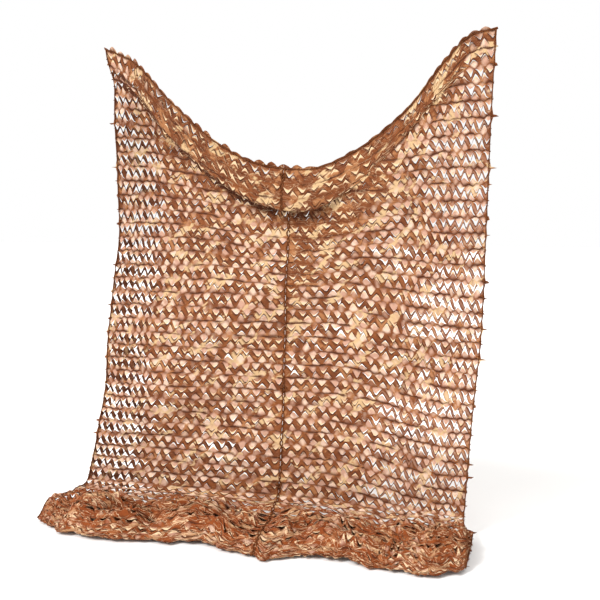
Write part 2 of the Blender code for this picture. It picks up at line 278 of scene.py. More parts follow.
@dataclass(frozen=True)
class Drape:
    """The middle surface of the net as it hangs and lies.

    A place on it is across, from -1 at the left edge through 0 at the seam to 1 at the right
    edge, and down, the cloth from the top edge in metres.
    """

    corner_height: float = 1.87
    hung_length: float = 1.79
    seam_row: int = 5  # the row of TOP_EDGE where the two panels meet
    crowding: float = 0.09  # how much closer the cells stand towards the side edges
    side_blend: float = 0.45  # cloth over which the sides leave the top edge's form
    side_quicker: float = 0.70  # the share by which that is shorter at the side edges
    side_power: int = 8  # how close to them
    flap_depth: float = 0.05  # how far the crease stands forward, where the flap is full
    full_flap: float = 0.18  # how long it is there
    full_slack: float = 0.08  # the sag from which the swag is folded in full
    under_min: float = 0.05  # cloth in the hidden layer, and its share of the sag
    under_share: float = 0.62
    back_depth: float = 0.035  # how far the hidden layer's end stands back
    back_release: float = 0.75  # cloth over which the net below comes forward again
    fold_rounding: float = 0.018
    forward_by: float = 0.45  # the share of the flap over which it comes forward
    return_by: float = 0.35  # the share of the hidden layer over which it goes back
    crease_return: float = 0.6  # and how far, as shares of the two depths
    back_return: float = 0.3
    passing: float = 0.04  # cloth over which the net passes behind the hidden layer
    waves_in: float = 0.25  # cloth at each end over which the gentle waves start and stop
    waves_out: float = 0.35
    foot_rounding: float = 0.030  # where the cloth meets the floor
    foot_reach: float = 0.09
    landing: float = 0.16  # cloth past the foot until it lies
    first_step: float = 0.05  # cloth from the foot to the pile's first turn
    flare: float = 0.31  # cloth past the foot until the pile has its full width
    pile_width: Width = Width(0.0, -0.962, -0.020, 0.722)
    pile_depth: float = 0.39
    pile_rounding: float = 0.012
    top_across: np.ndarray = field(init=False)
    pile_cloth: np.ndarray = field(init=False)

    def __post_init__(self) -> None:
        """Work out where the top edge's rows lie across, and the cloth to each pile turn."""
        steps = [
            math.hypot(b.x - a.x, b.height - a.height) for a, b in zip(TOP_EDGE, TOP_EDGE[1:])
        ]
        run = np.concatenate([[0.0], np.cumsum(steps)]) - sum(steps[: self.seam_row])
        object.__setattr__(self, "top_across", np.where(run < 0, run / -run[0], run / run[-1]))
        turns = [
            math.hypot((b.forward - a.forward) * self.pile_depth, b.height - a.height)
            for a, b in zip(PILE_SECTION, PILE_SECTION[1:])
        ]
        cloth = self.hung_length + np.cumsum([self.first_step] + turns)
        object.__setattr__(self, "pile_cloth", cloth)

    @property
    def length(self) -> float:
        """The whole length of the cloth."""
        return float(self.pile_cloth[-1])

    @property
    def origin(self) -> TopPoint:
        """The point that is the frame's origin: the top edge at the seam."""
        return TOP_EDGE[self.seam_row]

    def slack(self, across: np.ndarray) -> np.ndarray:
        """How far the top edge sags below the corners."""
        return self.corner_height - through(TOP_EDGE, "height", self.top_across, across)

    def swag(self, across: np.ndarray) -> tuple[np.ndarray, ...]:
        """Find how the swag is folded.

        Args:
            across: From -1 at the left edge to 1 at the right edge.

        Returns:
            Its fullness, and its crease and the end of its hidden layer, as cloth from the top.
        """
        places = [row.across for row in CREASES]
        full, flap = (through(CREASES, c, places, across) for c in ("fullness", "flap"))
        return full, flap, flap + self.under_min + self.under_share * self.slack(across)

    def _hanging(self, across: np.ndarray, at: np.ndarray) -> tuple[np.ndarray, np.ndarray]:
        """Find the section of the hanging cloth, its turns still sharp.

        Args:
            across: From -1 at the left edge to 1 at the right edge.
            at: Cloth from the top edge.

        Returns:
            The depth, positive to the rear, and the height.
        """
        slack = self.slack(across)
        full, flap, turned = self.swag(across)
        under = turned - flap
        fullness = full * eased(slack / self.full_slack)
        crease = self.flap_depth * fullness * np.minimum(flap / self.full_flap, 1.0)
        back = self.back_depth * fullness
        forward = crease * np.clip(at / (self.forward_by * flap), 0.0, 1.0)
        swing = self.crease_return * crease + self.back_return * back
        returned = swing * np.clip((at - flap) / (self.return_by * under), 0.0, 1.0)
        passed = (crease + back - swing) * np.clip((at - turned) / self.passing + 0.5, 0.0, 1.0)
        release = back * eased((at - turned) / self.back_release)
        wave = sum(
            row.amplitude
            * np.sin(2 * math.pi * (at / row.length + row.waves_across * across / 2) + row.phase)
            for row in HANG_WAVES
        )
        wave = wave * eased(at / self.waves_in) * eased((self.hung_length - at) / self.waves_out)
        fallen = self.corner_height - slack - at
        height = fallen + slack * np.clip((at - flap) / under, 0.0, 1.0)
        return returned + passed - forward - release + wave, height

    def _piled(
        self, across: np.ndarray, at: np.ndarray, x: np.ndarray
    ) -> tuple[np.ndarray, np.ndarray]:
        """Find the section of the cloth that lies on the floor, its turns still sharp.

        Args:
            across: From -1 at the left edge to 1 at the right edge.
            at: Cloth from the top edge.
            x: The place along X.

        Returns:
            The depth, positive to the rear, and the height.
        """
        reach_across = [row.across for row in PILE_REACHES]
        rear = through(PILE_REACHES, "rear", reach_across, across)
        front = through(PILE_REACHES, "front", reach_across, across)
        landed = eased((at - self.hung_length) / self.landing)
        cloth = [self.hung_length, *self.pile_cloth]
        foot = self.corner_height - self.hung_length
        forward = np.interp(at, cloth, [0.0, *(row.forward for row in PILE_SECTION)])
        height = np.interp(at, cloth, [foot, *(row.height for row in PILE_SECTION)])
        y = rear * landed + (front - rear * landed) * forward
        uneven = sum(
            row.amplitude
            * np.sin(2 * math.pi * (x / row.x_length + y / row.y_length) + row.phase)
            for row in PILE_WAVES
        )
        return y, height * (1 + landed * uneven)

    def surface(self, across: np.ndarray, down: np.ndarray, inset: float = 0.0) -> np.ndarray:
        """Find points of the net's middle surface.

        Args:
            across: From -1 at the left edge to 1 at the right edge.
            down: Cloth from the top edge.
            inset: How far a panel's inner edge stands off the seam's centre line.

        Returns:
            The points, in the frame.
        """
        side = np.sign(across)
        spread = np.abs(across) * (1 + self.crowding) - self.crowding * np.abs(across) ** 3
        depths = [self.corner_height - row.height for row in WIDTHS]
        hung = np.minimum(down, self.hung_length)
        left, seam, right = (through(WIDTHS, c, depths, hung) for c in ("left", "seam", "right"))
        flare = eased((down - self.hung_length) / self.flare)
        left = left + flare * (self.pile_width.left - WIDTHS[-1].left)
        seam = seam + flare * (self.pile_width.seam - WIDTHS[-1].seam)
        right = right + flare * (self.pile_width.right - WIDTHS[-1].right)
        edge = np.where(side < 0, left, right)
        straight = seam + side * inset + spread * (edge - seam - side * inset)
        top_x = through(TOP_EDGE, "x", self.top_across, across)
        top_x = top_x + side * inset * (1 - np.abs(across))
        blend = self.side_blend * (1.0 - self.side_quicker * across**self.side_power)
        x = top_x + (straight - top_x) * eased(down / blend)

        def section(at: np.ndarray) -> np.ndarray:
            """Find the sharp section at other places down the cloth.

            Args:
                at: Cloth from the top edge.

            Returns:
                The depth and the height.
            """
            hang = self._hanging(across, np.minimum(at, self.hung_length))
            pile = self._piled(across, np.maximum(at, self.hung_length), x)
            return np.where(at > self.hung_length, pile, hang)

        at_foot = eased(1.0 - np.abs(down - self.hung_length) / self.foot_reach)
        half = np.where(down < self.hung_length, self.fold_rounding, self.pile_rounding)
        half = half + (self.foot_rounding - half) * at_foot
        y, z = sum(section(down + half * step) for step in (-1.0, -0.5, 0.0, 0.5, 1.0)) / 5.0
        return np.stack([x - self.origin.x, y, z - self.origin.height], axis=-1)

    def frames(
        self, across: np.ndarray, down: np.ndarray, inset: float, reach: float = 0.004
    ) -> tuple[np.ndarray, np.ndarray]:
        """Find points of the surface and the unit normals out of its front.

        Args:
            across: From -1 at the left edge to 1 at the right edge.
            down: Cloth from the top edge.
            inset: How far a panel's inner edge stands off the seam's centre line.
            reach: The step over which the slopes are taken.

        Returns:
            The points and the normals.
        """
        wider = np.sign(across) * np.minimum(np.abs(across) + reach, 1.0)
        narrower = np.sign(across) * np.maximum(np.abs(across) - reach, BARELY)
        out = self.surface(wider, down, inset) - self.surface(narrower, down, inset)
        along = self.surface(across, down + reach, inset) - self.surface(across, down - reach, inset)
        normals = unit(np.cross(along, out * np.sign(across)[..., None]))
        return self.surface(across, down, inset), normals


class SmoothNoise:
    """Seeded noise on a plane: random at whole numbers, and smooth between them."""

    SIZE = 256
    LAYER_X, LAYER_Y = 17, 29  # how far a layer is shifted against the one before

    def __init__(self, seed: int) -> None:
        """Draw the values.

        Args:
            seed: The seed, so that each run gives the same noise.
        """
        self.values = np.random.default_rng(seed).uniform(-1.0, 1.0, (self.SIZE, self.SIZE))

    def at(self, x: np.ndarray, y: np.ndarray) -> np.ndarray:
        """Read the noise.

        Args:
            x: Places along its first direction.
            y: Places along its second direction.

        Returns:
            The noise at each, from -1 to 1.
        """
        left, low = np.floor(x).astype(int), np.floor(y).astype(int)
        right_share, up_share = eased(x - left), eased(y - low)
        size = self.SIZE
        first = self.values[left % size, low % size]
        second = self.values[(left + 1) % size, low % size]
        third = self.values[left % size, (low + 1) % size]
        fourth = self.values[(left + 1) % size, (low + 1) % size]
        lower = first + (second - first) * right_share
        upper = third + (fourth - third) * right_share
        return lower + (upper - lower) * up_share

    def layered(self, x: np.ndarray, y: np.ndarray, layers: int = 3) -> np.ndarray:
        """Read the noise in layers, each twice as fine and half as strong as the one before.

        Args:
            x: Places along its first direction.
            y: Places along its second direction.
            layers: How many layers there are.

        Returns:
            Their sum at each place.
        """
        return sum(
            self.at(x * 2**i + self.LAYER_X * i, y * 2**i + self.LAYER_Y * i) / 2**i
            for i in range(layers)
        )


@dataclass(frozen=True)
class Uneven:
    """One unevenness of the cloth, read from a noise."""

    amount: float
    across: float  # how often it changes in a unit across
    down: float  # and down
    across_start: float = 0.0
    down_start: float = 0.0
    layers: int = 2  # each twice as fine and half as strong as the one before

    def of(self, noise: SmoothNoise, across: np.ndarray, down: np.ndarray) -> np.ndarray:
        """Read it at places.

        Args:
            noise: The noise from which it comes.
            across: How far across each place is.
            down: How far down.

        Returns:
            The unevenness there.
        """
        x = across * self.across + self.across_start
        y = down * self.down + self.down_start
        return self.amount * noise.layered(x, y, self.layers)


@dataclass(frozen=True)
class Crumple:
    """The folds into which the cloth on the floor is pushed, alike in all its layers."""

    ridge: float = 0.018
    ridge_share: float = 0.55
    ridges: Uneven = Uneven(1.0, 1 / 0.15, 1 / 0.055, 5.0, 3.0)  # long across the net
    lumps: Uneven = Uneven(0.45, 1 / 0.07, 1 / 0.05, 40.0, 11.0)
    edge: float = 0.036  # how far its front is pushed in and out
    edge_bias: float = 0.28  # the share of that by which it is pushed out all along
    edge_lumps: Uneven = Uneven(1.0, 1 / 0.055, 0.0, 90.0, 0.5, 3)
    edge_over: Ramp = Ramp(0.0, -0.35)  # from the rear to the front
    edge_above: float = 0.75  # the share of that which is lost at the full height
    front_slope: float = 0.72  # share of its height that the pile loses at its front
    slope_from: float = 0.72  # share of the way to the front where that starts
    floor_gap: float = 0.0015
    full_height: float = 0.09
    most_height: float = 1.3  # in full heights
    noise: SmoothNoise = SmoothNoise(900)

    def applied(
        self, points: np.ndarray, across: np.ndarray, down: np.ndarray, drape: Drape
    ) -> np.ndarray:
        """Crumple points of the net that lie on the floor.

        Args:
            points: Points of the net.
            across: Where each lies, from -1 at the left edge to 1 at the right edge.
            down: The cloth from the top edge to each.
            drape: The drape that they are on.

        Returns:
            The points, moved. Those that hang stay as they are.
        """
        x, y, z = points.T
        landed = eased((down - drape.hung_length) / drape.landing)
        height = np.clip((z + drape.origin.height) / self.full_height, 0.0, self.most_height)
        ridges = 1.0 - 2.0 * np.abs(self.ridges.of(self.noise, x, y))
        edge = self.edge_lumps.of(self.noise, x, y) - self.edge_bias
        front = through(PILE_REACHES, "front", [row.across for row in PILE_REACHES], across)
        sloped = eased((y / front - self.slope_from) / (1.0 - self.slope_from))
        moved = points.copy()
        low = 1.0 - self.edge_above * np.minimum(height, 1.0)
        moved[:, 1] += landed * self.edge_over.at(y) * self.edge * edge * low
        uneven = self.ridge_share * ridges + self.lumps.of(self.noise, x, y)
        moved[:, 2] += landed * height * self.ridge * uneven
        floor = CAD_BOX[0][2] + self.floor_gap
        moved[:, 2] -= landed * self.front_slope * sloped * (moved[:, 2] - floor)
        moved[:, 2] = np.maximum(moved[:, 2], floor)
        return moved


# ---------------------------------------------------------------------------------------------
# Finishes


def linear(hex_colour: str) -> tuple[float, float, float, float]:
    """Turn an sRGB hex colour into linear RGBA.

    Args:
        hex_colour: The colour, as # and six digits.

    Returns:
        Its linear red, green and blue, and full opacity.
    """
    shares = [int(hex_colour[i : i + 2], 16) / 255 for i in (1, 3, 5)]
    red, green, blue = (c / 12.92 if c <= 0.04045 else ((c + 0.055) / 1.055) ** 2.4 for c in shares)
    return (red, green, blue, 1.0)


def add_node(
    tree: bpy.types.NodeTree, kind: str, inputs: dict | None = None, **settings: object
) -> bpy.types.Node:
    """Add a node, with its settings and links.

    Args:
        tree: The material's node tree.
        kind: The node's type name.
        inputs: Input name or number to a value, or to the output that feeds it.
        **settings: Properties of the node.

    Returns:
        The node.
    """
    made = tree.nodes.new(kind)
    for name, value in settings.items():
        setattr(made, name, value)
    for socket, value in (inputs or {}).items():
        if isinstance(value, bpy.types.NodeSocket):
            tree.links.new(value, made.inputs[socket])
        else:
            made.inputs[socket].default_value = value
    return made


def new_material(name: str) -> tuple[bpy.types.Material, bpy.types.NodeTree, bpy.types.Node]:
    """Start a material.

    Args:
        name: Its name.

    Returns:
        The material, its node tree and its shader.
    """
    material = bpy.data.materials.new(name)
    material.use_nodes = True
    return material, material.node_tree, material.node_tree.nodes["Principled BSDF"]


@dataclass(frozen=True)
class Patches:
    """Soft-edged patches of the print: their size, their start, and the levels of their edge."""

    across: float
    down: float
    start: float
    low: float
    high: float


@dataclass(frozen=True)
class SlitClothFinish:
    """Matt woven polyester cloth, printed in desert colours and slit.

    Plain weave polyester is dull and slightly rough, and the print lies in soft-edged blotches
    wider than they are high. Painted shade darkens the strips' edges, the chords and the cloth
    under the swag's crease. The leaves curl: their rims carry a painted highlight, and where a
    slit stands open its leaf is painted in the paler reverse, which has faded in places; that
    pale colour is partly the reverse's own and partly a painted highlight of leaves leaning to
    the light. Cloth that is crushed has fine creases in its bump, with a painted shadow in them
    and a painted highlight on them.
    """

    name: str = "printed polyester plain weave"
    rust: str = "#7E4827"
    deep_rust: str = "#6B3A20"
    pink_tan: str = "#9C6741"
    sand: str = "#C6A47A"
    # painted shade in dark brown: the strips' far edges, the chords, whole strips where the net stands
    # wide open, and the shade under the swag's crease
    shade_brown: str = "#4A2514"
    pressed: str = "#873B0E"
    # painted highlight in cream along the leaves' rims, where they curl
    rim_highlight_cream: str = "#DCBB95"
    # the leaves' pale colour: partly the paler reverse's own colour and partly a painted highlight of
    # leaves leaning to the light
    pale_reverse_and_highlight: str = "#B98F7A"
    faded_reverse_and_highlight: str = "#D6B7A1"
    roughness: float = 0.86
    gloss: float = 0.15
    deep_patches: Patches = Patches(0.070, 0.060, 3.7, 0.40, 0.60)
    pink_patches: Patches = Patches(0.070, 0.060, 11.3, 0.56, 0.62)
    sand_patches: Patches = Patches(0.130, 0.054, 23.9, 0.585, 0.625)
    faded_patches: Patches = Patches(0.070, 0.060, 31.7, 0.46, 0.60)
    patch_turn: float = 25.0  # degrees by which the patches rise to the right
    crushed_from: tuple[float, float] = (0.45, 1.30)  # the share at which a colour starts, and is full
    leaf_from: tuple[float, float] = (0.08, 0.45)
    shade_from: tuple[float, float] = (0.15, 0.70)
    rim_highlight_from: tuple[float, float] = (0.40, 0.60)
    thread: float = 0.0016  # coarser than the real 0.4 mm, so that it can show at all
    weave_height: float = 0.00012
    weave_strength: float = 0.5
    crease_across: float = 0.055  # creases pressed into the cloth, long across the net
    crease_down: float = 0.014
    crease_height: float = 0.006
    crease_shadow_line: tuple[float, float] = (0.44, 0.030)  # painted shadow along the creases: its level, and half its width
    # painted highlight along the creases, at a higher level
    crease_highlight_line: tuple[float, float] = (0.50, 0.018)
    crease_core: float = 0.3  # the share of its width in which a crease is full

    def _patches(
        self, tree: bpy.types.NodeTree, flat: bpy.types.NodeSocket, patches: Patches
    ) -> bpy.types.NodeSocket:
        """Mask patches of the print.

        Args:
            tree: The material's node tree.
            flat: The place on the flat cloth, in metres.
            patches: Their size, start and edge.

        Returns:
            The mask.
        """
        placed = add_node(
            tree,
            "ShaderNodeMapping",
            {
                "Vector": flat,
                "Location": (patches.start, patches.start, 0.0),
                "Rotation": (0.0, 0.0, math.radians(self.patch_turn)),
                "Scale": (patches.across, patches.down, 1.0),
            },
            vector_type="TEXTURE",
        )
        noise = add_node(
            tree,
            "ShaderNodeTexNoise",
            {"Vector": placed.outputs[0], "Scale": 1.0, "Detail": 3.0, "Roughness": 0.55},
            noise_dimensions="2D",
        )
        return add_node(
            tree,
            "ShaderNodeMapRange",
            {"Value": noise.outputs["Fac"], "From Min": patches.low, "From Max": patches.high},
        ).outputs[0]

    def _marked(
        self, tree: bpy.types.NodeTree, attribute: str, limits: tuple[float, float]
    ) -> bpy.types.NodeSocket:
        """Mask the places that the mesh marks.

        Args:
            tree: The material's node tree.
            attribute: The mesh's own attribute.
            limits: The share at which the mask starts, and at which it is full.

        Returns:
            The mask.
        """
        own = add_node(tree, "ShaderNodeAttribute", attribute_name=attribute).outputs["Fac"]
        return add_node(
            tree, "ShaderNodeMapRange", {"Value": own, "From Min": limits[0], "From Max": limits[1]}
        ).outputs[0]

    def _creased(
        self,
        tree: bpy.types.NodeTree,
        creases: bpy.types.NodeSocket,
        crushed: bpy.types.NodeSocket,
        line: tuple[float, float],
    ) -> bpy.types.NodeSocket:
        """Mask the fine lines along which the creases of crushed cloth have one height.

        Args:
            tree: The material's node tree.
            creases: The height of the creases.
            crushed: How far the cloth is crushed.
            line: That height, and half the line's width.

        Returns:
            The mask.
        """
        level, half = line
        off = add_node(tree, "ShaderNodeMath", {0: creases, 1: level}, operation="SUBTRACT")
        far = add_node(tree, "ShaderNodeMath", {0: off.outputs[0]}, operation="ABSOLUTE")
        mask = add_node(
            tree,
            "ShaderNodeMapRange",
            {"Value": far.outputs[0], "From Min": half, "From Max": self.crease_core * half},
        )
        return add_node(
            tree, "ShaderNodeMath", {0: mask.outputs[0], 1: crushed}, operation="MULTIPLY"
        ).outputs[0]

    def build(self) -> bpy.types.Material:
        """Make the material, on the piece's own UV map in metres of flat cloth.

        Returns:
            The material.
        """
        material, tree, shader = new_material(self.name)
        flat = add_node(tree, "ShaderNodeUVMap", uv_map="flat").outputs["UV"]
        crushed = add_node(tree, "ShaderNodeAttribute", attribute_name="crushed").outputs["Fac"]
        stretched = add_node(
            tree,
            "ShaderNodeMapping",
            {"Vector": flat, "Scale": (1 / self.crease_across, 1 / self.crease_down, 1)},
        )
        creases = add_node(
            tree,
            "ShaderNodeTexNoise",
            {"Vector": stretched.outputs[0], "Scale": 1.0, "Detail": 2.0, "Distortion": 0.8},
            noise_dimensions="2D",
        ).outputs["Fac"]
        pale_reverse_and_highlight = add_node(
            tree,
            "ShaderNodeMix",
            {
                "Factor": self._patches(tree, flat, self.faded_patches),
                MIX_FIRST: linear(self.pale_reverse_and_highlight),
                MIX_SECOND: linear(self.faded_reverse_and_highlight),
            },
            data_type="RGBA",
        ).outputs[MIX_RESULT]
        laid_over = (
            (self._patches(tree, flat, self.deep_patches), linear(self.deep_rust)),
            (self._patches(tree, flat, self.pink_patches), linear(self.pink_tan)),
            (self._patches(tree, flat, self.sand_patches), linear(self.sand)),
            (self._marked(tree, "crushed", self.crushed_from), linear(self.pressed)),
            # the leaves' pale colour, partly the reverse's own and partly a painted highlight
            (self._marked(tree, "leaf", self.leaf_from), pale_reverse_and_highlight),
            # painted shade in dark brown, where the mesh's edge mark puts it
            (self._marked(tree, "edge", self.shade_from), linear(self.shade_brown)),
            # painted highlight along the leaves' rims
            (self._marked(tree, "rim", self.rim_highlight_from), linear(self.rim_highlight_cream)),
            # painted shadow and painted highlight along the creases of crushed cloth
            (self._creased(tree, creases, crushed, self.crease_shadow_line), linear(self.deep_rust)),
            (self._creased(tree, creases, crushed, self.crease_highlight_line), linear(self.rim_highlight_cream)),
        )
        colour = linear(self.rust)
        for mask, over in laid_over:
            colour = add_node(
                tree,
                "ShaderNodeMix",
                {"Factor": mask, MIX_FIRST: colour, MIX_SECOND: over},
                data_type="RGBA",
            ).outputs[MIX_RESULT]
        tree.links.new(colour, shader.inputs["Base Color"])
        threads = [
            add_node(
                tree,
                "ShaderNodeTexWave",
                {"Vector": flat, "Scale": math.pi / (10 * self.thread), "Distortion": 0.4},
                bands_direction=direction,
            ).outputs["Fac"]
            for direction in ("X", "Y")
        ]
        weave = add_node(
            tree, "ShaderNodeMath", {0: threads[0], 1: threads[1]}, operation="MULTIPLY"
        ).outputs[0]
        woven = add_node(
            tree,
            "ShaderNodeBump",
            {"Height": weave, "Strength": self.weave_strength, "Distance": self.weave_height},
        ).outputs[0]
        crush = add_node(
            tree,
            "ShaderNodeBump",
            {"Height": creases, "Strength": crushed, "Distance": self.crease_height, "Normal": woven},
        )
        tree.links.new(crush.outputs[0], shader.inputs["Normal"])
        shader.inputs["Roughness"].default_value = self.roughness
        shader.inputs["Specular IOR Level"].default_value = self.gloss
        return material


@dataclass(frozen=True)
class BraidFinish:
    """Matt polyester braid in dark brown, worked tight.

    Its strands cross in a fine herringbone: the raised ones are worn a little lighter, and the
    cord has no gloss.
    """

    name: str = "braided polyester cord"
    dark: str = "#44220F"
    light: str = "#7A4522"
    roughness: float = 0.85
    gloss: float = 0.15
    strand: float = 0.0030
    wander: float = 3.0  # how unevenly the strands cross
    relief: float = 0.0006
    relief_strength: float = 0.6

    def build(self) -> bpy.types.Material:
        """Make the material, on Object coordinates.

        Returns:
            The material.
        """
        material, tree, shader = new_material(self.name)
        place = add_node(tree, "ShaderNodeTexCoord").outputs["Object"]
        strands = add_node(
            tree,
            "ShaderNodeTexWave",
            {
                "Vector": place,
                "Scale": math.pi / (10 * self.strand),
                "Distortion": self.wander,
                "Detail": 1.0,
            },
            bands_direction="DIAGONAL",
        ).outputs["Fac"]
        colour = add_node(
            tree,
            "ShaderNodeMix",
            {
                "Factor": strands,
                MIX_FIRST: linear(self.dark),
                MIX_SECOND: linear(self.light),
            },
            data_type="RGBA",
        )
        tree.links.new(colour.outputs[MIX_RESULT], shader.inputs["Base Color"])
        bump = add_node(
            tree,
            "ShaderNodeBump",
            {"Height": strands, "Strength": self.relief_strength, "Distance": self.relief},
        )
        tree.links.new(bump.outputs[0], shader.inputs["Normal"])
        shader.inputs["Roughness"].default_value = self.roughness
        shader.inputs["Specular IOR Level"].default_value = self.gloss
        return material


@dataclass(frozen=True)
class FloorFinish:
    """White studio paper: coated matt, so it is even and mirrors nothing."""

    name: str = "studio paper"
    white: str = "#FAF9F7"
    roughness: float = 0.9

    def build(self) -> bpy.types.Material:
        """Make the material.

        Returns:
            The material.
        """
        material, _, shader = new_material(self.name)
        shader.inputs["Base Color"].default_value = linear(self.white)
        shader.inputs["Roughness"].default_value = self.roughness
        return material


# ---------------------------------------------------------------------------------------------
# The cloth


def finished(name: str, mesh: bmesh.types.BMesh, material: bpy.types.Material) -> bpy.types.Object:
    """Make a smooth piece in the scene of a bmesh, and free it.

    Args:
        name: The piece's name.
        mesh: Its mesh, in the frame.
        material: Its finish.

    Returns:
        The piece.
    """
    data = bpy.data.meshes.new(name)
    for face in mesh.faces:
        face.smooth = True
    mesh.to_mesh(data)
    mesh.free()
    data.materials.append(material)
    piece = bpy.data.objects.new(name, data)
    bpy.context.scene.collection.objects.link(piece)
    return piece


@dataclass(frozen=True)
class PanelSide:
    """What differs between the panel on the left of the seam and the one on the right."""

    crowded_cells: float  # the cells beside the side edge, which are drawn together
    crowded_share: float  # and the share of the width that they fill
    stretched: float  # how much further apart the chords stand at the side edge
    widening: Ramp  # where across the slits start to stand wider open
    slack: float  # how far the slits close where the cloth hangs slack below the swag
    slack_reach: float  # cloth over which that ends at the side edge
    slack_growth: float  # how much more cloth it takes at the seam
    soft_dark: float  # how dark the soft shade under the crease is beside the seam
    edge_pale: float  # how much fainter the painted shade on the strips' edges is where the net stands wide open
    strip_shade: float  # how much painted shade darkens the strips there
    strip_pale: float  # and how much of the leaves' pale colour, partly reverse and partly painted highlight, they take
    top_short: float  # how much shorter the leaves above the top edge are away from the seam


PANEL_SIDES = {
    Side.LEFT: PanelSide(
        crowded_cells=6.9,
        crowded_share=0.29,
        stretched=0.0,
        widening=Ramp(0.66, 0.11),
        slack=1.0,
        slack_reach=0.06,
        slack_growth=0.50,
        soft_dark=0.0,
        edge_pale=0.0,
        strip_shade=0.6,
        strip_pale=0.0,
        top_short=0.0,
    ),
    Side.RIGHT: PanelSide(
        crowded_cells=10.0,
        crowded_share=0.45,
        stretched=0.05,
        widening=Ramp(0.26, 0.52),
        slack=1.25,
        slack_reach=0.12,
        slack_growth=0.62,
        soft_dark=0.34,
        edge_pale=0.35,
        strip_shade=0.0,
        strip_pale=0.20,
        top_short=0.75,
    ),
}


def place_across(side: Side, share: np.ndarray) -> np.ndarray:
    """Where a share of a panel's width lies on the drape, just off the seam at the least."""
    return side.value * np.clip(share, BARELY, 1.0)


@dataclass(frozen=True)
class Opening:
    """How far the slits stand open: 1 is wide open, as at the side edges, and 0 is closed."""

    hung: float = 0.52
    at_side: float = 0.32  # how much wider they stand near the side edge
    slack: float = 0.34  # how much less where the cloth hangs slack below the swag
    firm_side: float = 0.6  # the share of that which the side edge takes away
    lower: Ramp = Ramp(1.10, 0.30)  # cloth from the top edge where they open a little more
    lower_more: float = 0.06
    foot: Ramp = Ramp(1.72, 0.08)  # and where they close again, above the floor
    foot_less: float = 0.07
    band: float = 0.24  # cloth at the top edge where they are nearly closed
    band_narrows: Ramp = Ramp(0.70, 0.24)  # share of the width where that narrows away
    band_end: float = 0.10  # cloth over which it ends
    band_less: float = 0.50
    band_corner: Ramp = Ramp(0.80, 0.15)  # share of the width where it closes them less
    band_corner_less: float = 0.20
    band_even: float = 0.5  # the share of the patches that the band takes away
    least_hung: float = 0.20
    most_hung: float = 1.1
    patches: Uneven = Uneven(0.20, 4.0, 5.0, 9.0)
    piled: float = 0.26
    piled_patches: float = 0.5
    landing: Ramp = Ramp(0.02, 0.10)  # cloth past the foot
    least: float = 0.05
    most: float = 1.25

    def at(
        self, side: Side, drape: Drape, share: np.ndarray, down: np.ndarray, noise: SmoothNoise
    ) -> np.ndarray:
        """Find how far the slits stand open.

        Args:
            side: The panel.
            drape: The drape that it is on.
            share: The share of its width at each place, from the seam.
            down: Cloth from the top edge.
            noise: The noise of the patches.

        Returns:
            The opening at each place.
        """
        own = PANEL_SIDES[side]
        turned = drape.swag(place_across(side, share))[2]
        widened = own.widening.at(share)
        slack_over = own.slack_reach + own.slack_growth * (1.0 - share)
        slack = own.slack * (1.0 - eased((down - turned) / slack_over))
        band_start = self.band * (1.0 - self.band_narrows.at(share))
        band = 1.0 - eased((down - band_start) / self.band_end)
        low = self.lower_more * self.lower.at(down) - self.foot_less * self.foot.at(down)
        patches = self.patches.of(noise, share, down)
        hung = self.hung + self.at_side * widened
        hung = hung - self.slack * slack * (1.0 - self.firm_side * widened) + low
        closed = (self.band_less - self.band_corner_less * self.band_corner.at(share)) * band
        hung = np.clip(hung - closed, self.least_hung, self.most_hung)
        hung = hung + patches * (1.0 - self.band_even * band)
        piled = self.piled + self.piled_patches * patches
        landed = self.landing.at(down - drape.hung_length)
        return np.clip(hung + (piled - hung) * landed, self.least, self.most)


@dataclass(frozen=True)
class CreaseShade:
    """The dark line where the swag's fold turns, and the shade on the cloth just below it."""

    half: float = 0.024  # half its width
    seam_half: float = 0.30  # the share of that at the seam
    widens: Ramp = Ramp(0.0, 0.35)  # share of the panel's width over which it grows to the whole
    fullness: Ramp = Ramp(0.55, 0.40)  # how full the fold is where it shows
    side_fade: Ramp = Ramp(1.05, -0.20)  # share of the width where it fades towards the side
    below: float = 0.8  # how far its middle lies below the fold's edge, in half widths
    on_turn: float = 0.5  # half its width on the fold's turn, in the same
    soft_half: float = 0.055  # half the width of the softer one beside the seam
    soft_reach: Ramp = Ramp(0.12, 0.36)  # share of the width over which that fades

    def at(self, side: Side, drape: Drape, share: np.ndarray, down: np.ndarray) -> np.ndarray:
        """Find how dark places are.

        Args:
            side: The panel.
            drape: The drape that it is on.
            share: The share of its width at each place, from the seam.
            down: Cloth from the top edge.

        Returns:
            The shade at each place, from 0 to 1.
        """
        place = place_across(side, share)
        full, flap, _ = drape.swag(place)
        past_fold = down - flap - drape.slack(place)
        half = self.half * (self.seam_half + (1.0 - self.seam_half) * self.widens.at(share))
        below = np.abs(past_fold - self.below * half) / half
        far = np.minimum(np.abs(down - flap) / (self.on_turn * half), below)
        sharp = self.fullness.at(full) * np.exp(-(far**4)) * self.side_fade.at(share)
        near_seam = PANEL_SIDES[side].soft_dark * (1.0 - self.soft_reach.at(share))
        return np.maximum(sharp, near_seam * np.exp(-((past_fold / self.soft_half) ** 2)))


